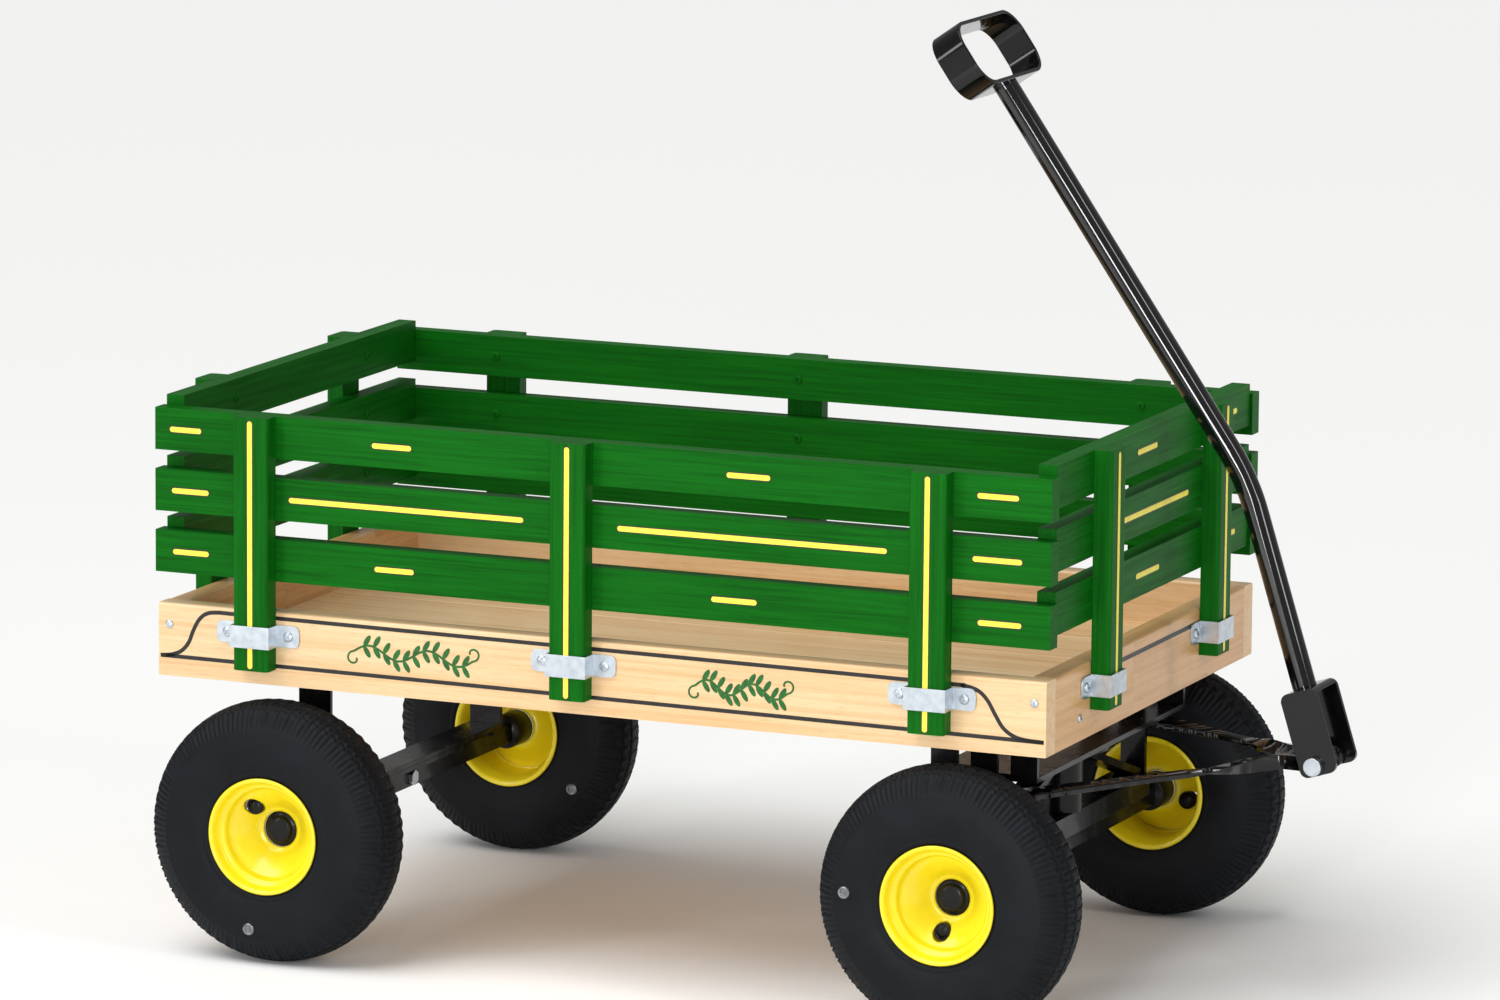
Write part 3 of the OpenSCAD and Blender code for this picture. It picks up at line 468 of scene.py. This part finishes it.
def smooth_path(points, steps=8):
    """Points on a smooth curve through the given ones."""
    ends = [2 * points[0] - points[1]] + list(points) + [2 * points[-1] - points[-2]]
    path = []
    for a, b, c, d in zip(ends, ends[1:], ends[2:], ends[3:]):
        for step in range(steps):
            t = step / steps
            path.append(0.5 * (2 * b + (c - a) * t + (2 * a - 5 * b + 4 * c - d) * t * t
                               + (3 * b - a - 3 * c + d) * t ** 3))
    return path + [points[-1]]


def painted_dash(bm, start, end, outward, width, height):
    """A short painted line with round ends, standing a paint film's height off a face."""
    run = end - start
    circle = bmesh.ops.create_circle(bm, cap_ends=True, radius=width * MM / 2, segments=16,
                                     matrix=Matrix.Rotation(math.pi / 16, 4, "Z"))["verts"]
    bmesh.ops.translate(bm, vec=(run.length, 0, 0), verts=[v for v in circle if v.co.x > 0])
    face = circle[0].link_faces[0]
    made = bmesh.ops.extrude_face_region(bm, geom=[face])["geom"]
    top = [g for g in made if isinstance(g, bmesh.types.BMVert)]
    bmesh.ops.translate(bm, vec=(0, 0, height * MM), verts=top)
    bmesh.ops.transform(bm, matrix=facing(start, outward, run), verts=list(set(circle) | set(top)))


def painted_ribbon(bm, path, outward, width, height):
    """A long painted line that follows a path on a face."""
    half = width * MM / 2
    places = []
    for i, point in enumerate(path):
        tangent = path[min(i + 1, len(path) - 1)] - path[max(i - 1, 0)]
        across = Vector(outward).cross(tangent).normalized()
        basis = Matrix((across, Vector(outward), tangent.normalized())).transposed()
        places.append(Matrix.Translation(point) @ basis.to_4x4())
    sweep(bm, [(-half, 0), (half, 0), (half, height * MM), (-half, height * MM)], places)


def closed(bm):
    bmesh.ops.recalc_face_normals(bm, faces=bm.faces)
    return bm


# --- Bed and racks ----------------------------------------------------------

for side in SIDES:
    eased(f"bed_side_{side}", "maple_x", 1.6)
for end in ENDS:
    eased(f"bed_end_{end}", "maple_y", 1.6)
eased("deck_boards", "maple_x", 1.2)
eased("deck_cleats", "maple_y", 1.2)
brackets = eased("stake_brackets", "zinc", 0.7)


def square_up_ears(obj):
    """Draws the brackets' round ears out to rounded rectangles, within the same width."""
    boxes = loose_parts("stake_brackets")
    for vert in obj.data.vertices:
        low, high = next(b for b in boxes if all(b[0][i] - 1e-5 <= vert.co[i] <= b[1][i] + 1e-5
                                                 for i in range(3)))
        axis = 0 if high.x - low.x > high.y - low.y else 1
        centre = (low + high) / 2
        radius = (high.z - low.z) / 2
        side_way = vert.co[axis] - centre[axis]
        beyond = abs(side_way) - (high[axis] - low[axis]) / 2 + radius
        rise = vert.co.z - centre.z
        if beyond > 0 and math.hypot(beyond, rise) > 0.8 * radius:
            reach = (beyond ** 4 + rise ** 4) ** 0.25 / math.hypot(beyond, rise)
            vert.co[axis] += math.copysign(beyond / reach - beyond, side_way)
            vert.co.z = centre.z + rise / reach


square_up_ears(brackets)
for rack in ("right", "left", "front", "rear"):
    run = "green_x" if rack in SIDES else "green_y"
    for slat in ("top", "middle", "bottom"):
        eased(f"rack_{rack}_slat_{slat}", run, 2.4, 3)
    eased(f"rack_{rack}_stakes", "green_z", 1.6, 3)

# Yellow dashes on the slats, in millimetres along the bed or across it
SIDE_DASHES = {"top": ((-454, -425), (-234, -197), (142, 182), (400, 437)),
               "middle": ((-452, -417), (-324, -77), (28, 303), (396, 441)),
               "bottom": ((-451, -417), (-231, -194), (127, 169), (402, 441))}
END_DASHES = {"top": ((-48, 0), (190, 225)), "middle": ((-117, 89),),
              "bottom": ((-48, 10), (190, 225))}
# How far a stake's stripe stops from its foot and from its head
STAKE_STRIPE_FOOT = 5
STAKE_STRIPE_HEAD = 6
# Widths and film heights of a stripe and of the black line under it
STRIPE = {"stripe": (5.4, 0.30), "outline": (7.8, 0.15)}


def rack_stripes(rack):
    """The striping of one rack: dashes along its slats and a line down each stake."""
    on_side = rack in SIDES
    sign = SIDES[rack] if on_side else ENDS[rack]
    outward = Vector((0, sign, 0)) if on_side else Vector((sign, 0, 0))
    lines = []
    for level, dashes in (SIDE_DASHES if on_side else END_DASHES).items():
        low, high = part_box(f"rack_{rack}_slat_{level}")
        z = (low.z + high.z) / 2
        for first, last in dashes:
            if on_side:
                face = high.y if sign > 0 else low.y
                lines.append([Vector((bed_mid_x + v * MM, face, z)) for v in (first, last)])
            else:
                face = high.x if sign > 0 else low.x
                lines.append([Vector((face, v * MM, z)) for v in (first, last)])
    for low, high in loose_parts(f"rack_{rack}_stakes"):
        spot = (low + high) / 2
        if on_side:
            spot.y = high.y if sign > 0 else low.y
        else:
            spot.x = high.x if sign > 0 else low.x
        lines.append([Vector((spot.x, spot.y, z))
                      for z in (low.z + STAKE_STRIPE_FOOT * MM, high.z - STAKE_STRIPE_HEAD * MM)])
    for finish, (width, height) in STRIPE.items():
        bm = bmesh.new()
        for start, end in lines:
            painted_dash(bm, start, end, outward, width, height)
        piece(f"rack_{rack}_{finish}", closed(bm), finish, f"rack_{rack}", smooth=False)


for rack in ("right", "left", "front", "rear"):
    rack_stripes(rack)

# Pinstripe on the side boards, in millimetres along the bed and above the ground
PIN_UPPER = ((-468, 296), (-456, 297.5), (-445, 302), (-437, 311), (-432, 323), (-426, 334),
             (-418, 341), (-406, 343.5), (-380, 343.5), (-200, 342.5), (100, 341), (360, 339.5),
             (385, 339), (400, 335.5), (410, 327), (418, 314), (426, 302), (436, 295),
             (448, 291.8), (468, 290.8))
PIN_LOWER = ((-468, 296), (-200, 294.8), (200, 292.4), (468, 290.8))
# Pinstripe between the stakes of an end board: places across, and drop from the board's top
END_PIN_Y = (-129, -45, 45, 129)
END_PIN_DROP = 14
PIN_FILM = 0.15


# Leafy scroll: the stem's wave, a leaf's tilt in degrees, length and width, and paint heights
WAVE = 6.5
LEAF_TILT = 58
LEAF_L = 13
LEAF_W = 5.4
STEM_FILM = 0.2
LEAF_FILM = 0.22


def scroll(bm, middle_x, width, z, face_y, outward):
    """A plain leafy scroll: a waved stem with paired leaves and a curl at each end."""
    def at(u, v):
        return Vector((bed_mid_x + (middle_x + u) * MM, face_y, (z + v) * MM))
    half = width / 2
    stem = [at(-half + width * i / 24, WAVE * math.sin(i * math.tau / 12)) for i in range(25)]
    painted_ribbon(bm, smooth_path(stem, 3), outward, 2.2, STEM_FILM)
    for end in (-1, 1):
        curl = [at(end * (half + 1.08 * r * math.sin(a)), end * (7.5 - r * math.cos(a)))
                for a, r in ((k * 0.42, 7.5 - 0.42 * k) for k in range(13))]
        painted_ribbon(bm, smooth_path(curl, 3), outward, 2.0, STEM_FILM)
    for i in range(1, 12):
        u = -half + width * i / 12
        v = WAVE * math.sin(i * math.tau / 6)
        for flip in (-1, 1):
            tilt = math.radians(LEAF_TILT) * flip
            root = at(u, v)
            tip = at(u + 12 * math.cos(tilt), v + 12 * math.sin(tilt))
            leaf = bmesh.ops.create_circle(bm, cap_ends=True, radius=0.5, segments=12)["verts"]
            face = leaf[0].link_faces[0]
            bmesh.ops.translate(bm, vec=(0.5, 0, 0), verts=leaf)
            bmesh.ops.scale(bm, vec=(LEAF_L * MM, LEAF_W * MM, 1), verts=leaf)
            made = bmesh.ops.extrude_face_region(bm, geom=[face])["geom"]
            top = [g for g in made if isinstance(g, bmesh.types.BMVert)]
            bmesh.ops.translate(bm, vec=(0, 0, LEAF_FILM * MM), verts=top)
            bmesh.ops.transform(bm, matrix=facing(root, outward, tip - root),
                                verts=list(set(leaf) | set(top)))


for side, sign in SIDES.items():
    face_y = sign * bed_half_w
    outward = Vector((0, sign, 0))
    bm = bmesh.new()
    for line in (PIN_UPPER, PIN_LOWER):
        points = [on_bed(x, 0, z) + Vector((0, face_y, 0)) for x, z in line]
        painted_ribbon(bm, smooth_path(points), outward, 4.0, PIN_FILM)
    piece(f"bed_side_{side}_pinstripe", closed(bm), "outline", "wagon_bed", smooth=False)
    bm = bmesh.new()
    scroll(bm, -192, 128, 318, face_y, outward)
    scroll(bm, 156, 96, 315, face_y, outward)
    piece(f"bed_side_{side}_scroll", closed(bm), "scroll", "wagon_bed", smooth=False)

for end, sign in ENDS.items():
    low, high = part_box(f"bed_end_{end}")
    face_x = high.x if sign > 0 else low.x
    bm = bmesh.new()
    points = [Vector((face_x, y * MM, bed_top_z - END_PIN_DROP * MM)) for y in END_PIN_Y]
    painted_ribbon(bm, points, Vector((sign, 0, 0)), 4.6, PIN_FILM)
    piece(f"bed_end_{end}_pinstripe", closed(bm), "outline", "wagon_bed", smooth=False)


def screw_shape(head_r, head_h, shank_r, length):
    """A pan-head screw on Z with a cross recess; its head stands on z = 0."""
    dome = [(0, head_h)] + [(head_r * math.sin(a) ** 0.8, head_h * math.cos(a) ** 0.55)
                            for a in (0.35, 0.7, 1.0, 1.25, 1.42)]
    body = turned([(r * MM, z * MM) for r, z in
                   dome + [(head_r, head_h * 0.25), (head_r, 0), (shank_r, 0),
                           (shank_r, -length + 1.5), (0, -length)]], 24)
    for turn in (0, math.pi / 2):
        slot = bmesh.new()
        size = Matrix.Diagonal((head_r * 1.15 * MM, head_r * 0.27 * MM, head_h * 1.2 * MM, 1))
        bmesh.ops.create_cube(slot, size=1.0, matrix=Matrix.Translation((0, 0, head_h * 0.95 * MM))
                              @ Matrix.Rotation(turn, 4, "Z") @ size)
        body = carved(body, slot)
    return body


def set_screws(node, head_r, head_h, shank_r, outward_of, finish="zinc"):
    """Cross-head screws where a CAD node has its screws."""
    places, length = [], 0
    for turn, (low, high) in enumerate(loose_parts(node)):
        outward = outward_of(low, high)
        axis = max(range(3), key=lambda i: abs(outward[i]))
        seat = (low + high) / 2
        seat[axis] = (high if outward[axis] > 0 else low)[axis] - outward[axis] * head_h * MM
        length = (high - low)[axis] / MM - head_h
        places.append(facing(seat, outward, (1, 0.2, 0.7)) @ Matrix.Rotation(turn * 1.3, 4, "Z"))
    body = nodes[node]["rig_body"]
    shape = screw_shape(head_r, head_h, shank_r, length)
    piece(node + "_cross_head", copies(shape, places), finish, body, node, smooth=False)


def from_bed_face(low, high):
    """Outward direction of a screw driven into the bed's outer faces."""
    if high.y > bed_half_w:
        return Vector((0, 1, 0))
    if low.y < -bed_half_w:
        return Vector((0, -1, 0))
    return Vector((1 if low.x > bed_mid_x else -1, 0, 0))


set_screws("bracket_screws", 5.0, 2.5, 2.2, from_bed_face)
set_screws("bed_screws", 4.2, 2.0, 2.5, from_bed_face)
for rack, (x, y) in {"right": (0, 1), "left": (0, -1), "front": (-1, 0), "rear": (1, 0)}.items():
    # painted over with the rack
    set_screws(f"rack_{rack}_screws", 4.5, 2.0, 2.0, lambda low, high: Vector((x, y, 0)), "green_z")

# --- Running gear -----------------------------------------------------------

for node in ("rear_bolster", "rear_axle", "front_bolster", "fork_plate", "fork_tube", "fork_beam",
             "fork_braces", "fork_posts", "front_axle"):
    eased(node, "powder", 0.9)
eased("handle_yoke", "gloss", 0.9)
eased("handle_grip", "gloss", 0.9)
eased("handle_tube", "tube", 0.4)
for node in ("bolster_bolts", "fork_bolts", "kingpin"):
    eased(node, "zinc", 0.6)
eased("handle_bolt", "zinc", 1.6, 3)


# Tongue bar: half its width and thickness at the fork, where its knee and eye are, its
# steps from one to the other, and how far along it narrows and then twists
STRAP_HALF_W = 16
STRAP_HALF_T = 3
KNEE_X = 45
EYE_Y = 23
EYE_BACK = 36
TWIST_STEPS = 48
NARROW_BY = 0.5
TWIST_FROM = 0.62
TWIST_RUN = 0.36


def tongue_bar(side, sign):
    """Flat strap on the fork post, kneed inwards and twisted upright to an eye."""
    low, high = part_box(f"tongue_bar_{side}")
    strap_y = sign * ((high.y if sign > 0 else -low.y) - STRAP_HALF_W * MM)
    flat_z = low.z + STRAP_HALF_T * MM
    eye = Vector((bolt.x, sign * EYE_Y * MM, bolt.z))
    knee = Vector((low.x + KNEE_X * MM, strap_y, flat_z))
    line = eye - Vector((EYE_BACK * MM, 0, 0)) - knee
    # each station is a point, a twist, and the strap's width there in millimetres
    stations = [(Vector((low.x, strap_y, flat_z)), 0.0, 32),
                (knee - Vector((10 * MM, 0, 0)), 0.0, 32)]
    for i in range(1, TWIST_STEPS + 1):
        t = i / TWIST_STEPS
        turn = max(0.0, min(1.0, (t - TWIST_FROM) / TWIST_RUN))
        turn = turn * turn * (3 - 2 * turn)
        stations.append((knee + line * t, turn * math.pi / 2, 32 - 18 * min(1.0, t / NARROW_BY)))
    stations += [(eye - Vector((11 * math.cos(a) * MM, 0, 0)), math.pi / 2, 22 * math.sin(a))
                 for a in (0.75, 0.95, 1.2, 1.571, 1.9, 2.2, 2.5, 2.75, 2.95)]
    points = [spot for spot, _, _ in stations]
    bm = bmesh.new()
    places = []
    for i, (spot, twist, width) in enumerate(stations):
        ahead = (points[min(i + 1, len(points) - 1)] - points[max(i - 1, 0)]).normalized()
        side_way = Vector((0, 0, 1)).cross(ahead).normalized()
        up = ahead.cross(side_way)
        turn = Matrix.Rotation(sign * twist, 3, ahead)
        basis = Matrix((turn @ side_way, turn @ up, ahead)).transposed().to_4x4()
        places.append(Matrix.Translation(spot) @ basis @ Matrix.Diagonal((width / 32, 1, 1, 1)))
    w, t = STRAP_HALF_W * MM, STRAP_HALF_T * MM
    sweep(bm, [(-w, -t), (w, -t), (w, t), (-w, t)], places)
    round_over(piece(f"tongue_bar_{side}_twisted", closed(bm), "gloss", "steering_fork",
                     f"tongue_bar_{side}"), 0.9, flat=False)


for side, sign in SIDES.items():
    tongue_bar(side, sign)

# --- Wheels -----------------------------------------------------------------

# Moulded ribs round a tyre, and the mesh steps in each
LUGS = 132
LUG_STEPS = 4
# Tread grooves: distances from the tyre's middle, half width and depth
TREAD_GROOVES = (7.5, 20.5)
GROOVE_HALF = 1.45
GROOVE_DEPTH = 3.2
# Cross cuts in the tread ribs
SIPE_DEPTH = 2.6
# Where the smooth wall ends, and where the shoulder turns into the tread
WALL_R = 103.5
SHOULDER_Y = 24.5
# Valve hole: distance from the axle, radius, and how far the plug's top is from the middle
VALVE_R = 32.5
VALVE_HOLE_R = 8.6
PLUG_Y = 6.0
# Valve cap: distance from the axle, and of its seat from the tyre's middle
VALVE_CAP_R = 94
VALVE_CAP_Y = 39.3
HUB_R = 18


def tyre_shape():
    """A 262 mm wagon tyre on Z: smooth wall, ribbed shoulder and zigzag tread ribs."""
    wall = [(52.6, 22), (52.9, 28.2), (55.2, 32.4), (57.5, 33.9), (59.6, 34.7), (61, 35.7),
            (63.5, 36.9), (64.6, 36.3), (66, 36.9), (72, 38.7), (80, 39.7), (88, 39.8),
            (95, 39.1), (100, 38.0), (103, 37.0)]
    shoulder = [(104.2, 36.9), (107, 35.8), (110, 34.4), (113, 32.9), (116, 31.2), (119, 29.2),
                (121.5, 27.2), (123.5, 25.2)]
    crown = []
    for y in (23.9, 22.4, 22.0, 19.2, 18.8, 16.5, 13.5, 10.5, 9.4, 9.0, 6.2, 5.8, 3.0):
        crown.append((130.9 - 0.0105 * y * y, y))
    half = wall + shoulder + crown
    outline = half + [(130.9, 0.0)] + [(r, -y) for r, y in reversed(half)] + half[:1]
    bm = turned([(r * MM, y * MM) for r, y in outline], LUGS * LUG_STEPS)
    for vert in bm.verts:
        radius = math.hypot(vert.co.x, vert.co.y) / MM
        y = abs(vert.co.z) / MM
        if radius < WALL_R:
            continue
        step = round((math.atan2(vert.co.y, vert.co.x) % math.tau) / math.tau * LUGS * LUG_STEPS)
        lug, phase = divmod(step, LUG_STEPS)
        uneven = 0.5 + 0.5 * math.sin(lug * 12.9898) * math.cos(lug * 4.1414)
        dip = 0.0
        if y > SHOULDER_Y:
            rise = max(0.0, min(1.0, (radius - WALL_R - 4 * uneven) / 7))
            dip = (0.0, 0.5, 2.9, 2.1)[phase] * rise * (0.5 + 0.8 * uneven)
        else:
            # zigzag grooves, and a cross cut in every other rib
            for groove in TREAD_GROOVES:
                if abs(y - groove) < GROOVE_HALF:
                    dip = GROOVE_DEPTH
            if dip == 0.0 and phase == 2 and lug % 2 == (y > 14):
                dip = SIPE_DEPTH
            zig = (0, 0.7, 1.4, 0.7, 0, -0.7, -1.4, -0.7)[(step + (4 if y > 14 else 0)) % 8]
            vert.co.z += zig * MM
        shrink = (radius - dip) / radius
        vert.co.x *= shrink
        vert.co.y *= shrink
    return bm


def rim_shape(hole_angle):
    """A pressed steel rim on Z: rolled flanges, bead seats, and a stepped cone down to the
    hub with one hole for the valve."""
    flange = [(58.3, 34.9), (58.45, 36.2), (57.7, 37.2), (56.5, 37.4), (55.2, 36.9),
              (54.0, 35.4), (53.0, 32.6), (52.2, 29.4), (50.9, 27.0)]
    dish = [(49.2, 25.8), (47.6, 25.2), (46.6, 24.2), (46.0, 22.2), (45.4, 19.2), (44.7, 17.2),
            (43.2, 15.8), (40.5, 14.3), (37, 11.4), (31, 5.6), (27, 1.4), (24.4, -1.7),
            (22.4, -3.6), (20.6, -4.6), (18.0, -5.0), (18.0, -7.6), (21.2, -7.3), (24.0, -5.9),
            (26.6, -3.2), (29.2, -0.6), (33, 3.2), (39, 9.2), (42.4, 11.9), (45.6, 13.6)]
    inside = [(48.0, 15.6), (48.6, 18.8), (49.0, 8.0), (49.0, -20), (49.2, -26.0),
              (50.6, -29.6), (51.6, -32.9), (53.1, -36.0), (54.6, -37.3), (56.5, -37.4),
              (57.7, -37.2), (58.45, -36.2), (58.3, -34.9), (56.2, -34.6), (54.6, -33.0),
              (52.2, -28.0), (51.8, -20), (51.8, 20), (52.2, 28.0), (54.6, 33.0), (56.2, 34.6),
              (58.3, 34.9)]
    rim = turned([(r * MM, y * MM) for r, y in flange + dish + inside], 96)
    drill = bmesh.new()
    spot = Vector((math.cos(hole_angle), math.sin(hole_angle), 0)) * VALVE_R * MM
    bmesh.ops.create_cone(drill, cap_ends=True, segments=32, radius1=VALVE_HOLE_R * MM,
                          radius2=VALVE_HOLE_R * MM, depth=40 * MM,
                          matrix=Matrix.Translation(spot))
    return carved(rim, drill)


def valve_plug_shape():
    """A domed black rubber plug that closes the valve hole, with a lip round it."""
    return turned([(r * MM, z * MM) for r, z in
                   ((0, 1.0), (3.4, 0.8), (5.6, 0.1), (6.4, -0.6), (7.0, -0.2), (7.8, 0.0),
                    (8.4, -0.5), (VALVE_HOLE_R, -1.4), (VALVE_HOLE_R, -12), (0, -12))], 32)


def wheel_place(end, side, outer=True):
    """The wheel's middle, with Z out of the wagon, or into it, and X ahead."""
    spot = middle(f"tyre_{end}_{side}")
    return facing(spot, (0, SIDES[side] * (1 if outer else -1), 0), (1, 0, 0))


def valve_cap_shape():
    """A nickel valve cap on Z: a raised ring round a slotted middle, and a fluted skirt."""
    outline = [(0, 0.9), (3.2, 0.9), (3.7, 1.7), (4.8, 1.9), (5.8, 1.3), (6.4, 0.2),
               (6.5, -1.5), (0, -1.5)]
    body = turned([(r * MM, z * MM) for r, z in outline], 36)
    for vert in body.verts:
        if math.hypot(vert.co.x, vert.co.y) > 6.0 * MM:
            flute = 1 - 0.05 * (round(math.degrees(math.atan2(vert.co.y, vert.co.x))) // 10 % 2)
            vert.co.x *= flute
            vert.co.y *= flute
    slot = bmesh.new()
    bmesh.ops.create_cube(slot, size=1.0, matrix=Matrix.Translation((0, 0, 0.9 * MM))
                          @ Matrix.Diagonal((5 * MM, 1.4 * MM, 1.2 * MM, 1)))
    return carved(body, slot)


def hub_shape(out, deep, radius):
    """A moulded hub on Z: a barrel that fills the dish's bore, and a cap with a raised face."""
    outline = [(0, out), (8, out - 0.2), (11.2, out - 0.5), (12.4, out - 1.2), (12.9, out - 2.4),
               (13.1, out - 4.6), (13.8, out - 5.3), (15.8, out - 5.6), (17.0, out - 6.3),
               (radius, out - 8.0), (radius, -deep + 3), (radius - 1.2, -deep), (0, -deep)]
    return turned([(r * MM, z * MM) for r, z in outline], 48)


tyre_pattern = bpy.data.meshes.new("tyre_pattern")
made = tyre_shape()
made.to_mesh(tyre_pattern)
made.free()
VALVE_HOLES = {("rear", "right"): 135, ("front", "right"): -100, ("rear", "left"): 200,
               ("front", "left"): -20}
# Each wheel's valve cap: how far round from straight ahead, and whether on the outer wall
VALVE_CAPS = {("rear", "right"): (-98, True), ("front", "right"): (177, True),
              ("rear", "left"): (-35, False), ("front", "left"): (60, True)}
for end in ENDS:
    for side in SIDES:
        body = f"wheel_{end}_{side}"
        base = wheel_place(end, side)
        bm = bmesh.new()
        bm.from_mesh(tyre_pattern)
        bmesh.ops.transform(bm, matrix=base, verts=bm.verts)
        piece(f"tyre_{end}_{side}_treaded", bm, "rubber", body, f"tyre_{end}_{side}")
        # the valve hole's place round the axle, from straight ahead towards up
        hole = math.radians(VALVE_HOLES[(end, side)])
        toward = base.inverted().to_3x3() @ Vector((math.cos(hole), 0, math.sin(hole)))
        hole_angle = math.atan2(toward.y, toward.x)
        piece(f"rim_{end}_{side}_rolled", copies(rim_shape(hole_angle), [base]), "enamel", body,
              f"rim_{end}_{side}")
        seat = base @ Matrix.Translation(toward * VALVE_R * MM + Vector((0, 0, PLUG_Y * MM)))
        piece(f"valve_plug_{end}_{side}", copies(valve_plug_shape(), [seat]), "cap", body)
        low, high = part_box(f"hub_{end}_{side}")
        spot = middle(f"tyre_{end}_{side}")
        sign = SIDES[side]
        inner, outer_face = (low.y, high.y) if sign > 0 else (-high.y, -low.y)
        hub = hub_shape((outer_face - sign * spot.y) / MM, (sign * spot.y - inner) / MM, HUB_R)
        piece(f"hub_{end}_{side}_cap", copies(hub, [base]), "cap", body, f"hub_{end}_{side}")
        angle, outer = VALVE_CAPS[(end, side)]
        base = wheel_place(end, side, outer)
        turn = math.radians(angle)
        ahead = base.inverted().to_3x3() @ Vector((math.cos(turn), 0, math.sin(turn)))
        proud = Vector((0, 0, VALVE_CAP_Y * MM))
        seat = base @ Matrix.Translation(ahead * VALVE_CAP_R * MM + proud)
        piece(f"valve_cap_{end}_{side}", copies(valve_cap_shape(), [seat]), "nickel", body,
              smooth=False)


# --- Studio -----------------------------------------------------------------


# Camera: place, lens in millimetres, and turns in degrees (heading, pitch and roll)
CAMERA_AT = (3.2487, -7.7109, 1.9370)
LENS = 206.1
HEADING, PITCH, ROLL = 23.15, -10.086, -0.485
# Softboxes: place, width, height and watts
SOFTBOXES = {"front_softbox": ((0.75, -4.0, 0.9), 0.6, 1.3, 56),
             "strip_softbox": ((-2.5, -4.0, 1.5), 0.5, 2.8, 36),
             "edge_softbox": ((3.6, -1.2, 2.2), 0.5, 2.4, 26)}


def studio():
    """Pale floor, soft lights and the camera."""
    scene = bpy.context.scene
    bm = bmesh.new()
    bmesh.ops.create_grid(bm, x_segments=1, y_segments=1, size=40)
    mesh = bpy.data.meshes.new("studio_floor")
    bm.to_mesh(mesh)
    bm.free()
    paper, _ = finish_of("white_paper_floor", "#fcfcfb", Roughness=0.9)
    mesh.materials.append(paper)
    floor = bpy.data.objects.new("studio_floor", mesh)
    scene.collection.objects.link(floor)

    world = bpy.data.worlds.new("studio_world")
    scene.world = world
    world.use_nodes = True
    world.node_tree.nodes["Background"].inputs["Color"].default_value = (1, 1, 1, 1)
    world.node_tree.nodes["Background"].inputs["Strength"].default_value = 0.30

    sky = bpy.data.lights.new("overhead_diffuser", "SUN")
    sky.energy = 2.2
    sky.angle = math.radians(50)
    overhead = bpy.data.objects.new("overhead_diffuser", sky)
    overhead.matrix_world = Vector((0.30, 0.42, -1.0)).to_track_quat("-Z", "Y").to_matrix().to_4x4()
    scene.collection.objects.link(overhead)

    for name, (place, wide, tall, power) in SOFTBOXES.items():
        light = bpy.data.lights.new(name, "AREA")
        light.shape = "RECTANGLE"
        light.size, light.size_y = wide, tall
        light.energy = power
        lamp = bpy.data.objects.new(name, light)
        aim = Vector((0, 0, 0.35)) - Vector(place)
        lamp.matrix_world = (Matrix.Translation(place)
                             @ aim.to_track_quat("-Z", "Y").to_matrix().to_4x4())
        scene.collection.objects.link(lamp)

    lens = bpy.data.cameras.new("camera")
    lens.sensor_width = 36.0
    lens.lens = LENS
    lens.clip_end = 200.0
    camera = bpy.data.objects.new("camera", lens)
    turn = Matrix.Identity(3)
    for angle, axis in ((HEADING, "Z"), (PITCH, "X"), (ROLL, "Y")):
        turn = turn @ Matrix.Rotation(math.radians(angle), 3, axis)
    right, ahead, up = turn.col
    basis = Matrix((right, up, -ahead)).transposed()
    camera.matrix_world = Matrix.Translation(CAMERA_AT) @ basis.to_4x4()
    scene.collection.objects.link(camera)
    scene.camera = camera
    scene.view_settings.view_transform = "Standard"


studio()
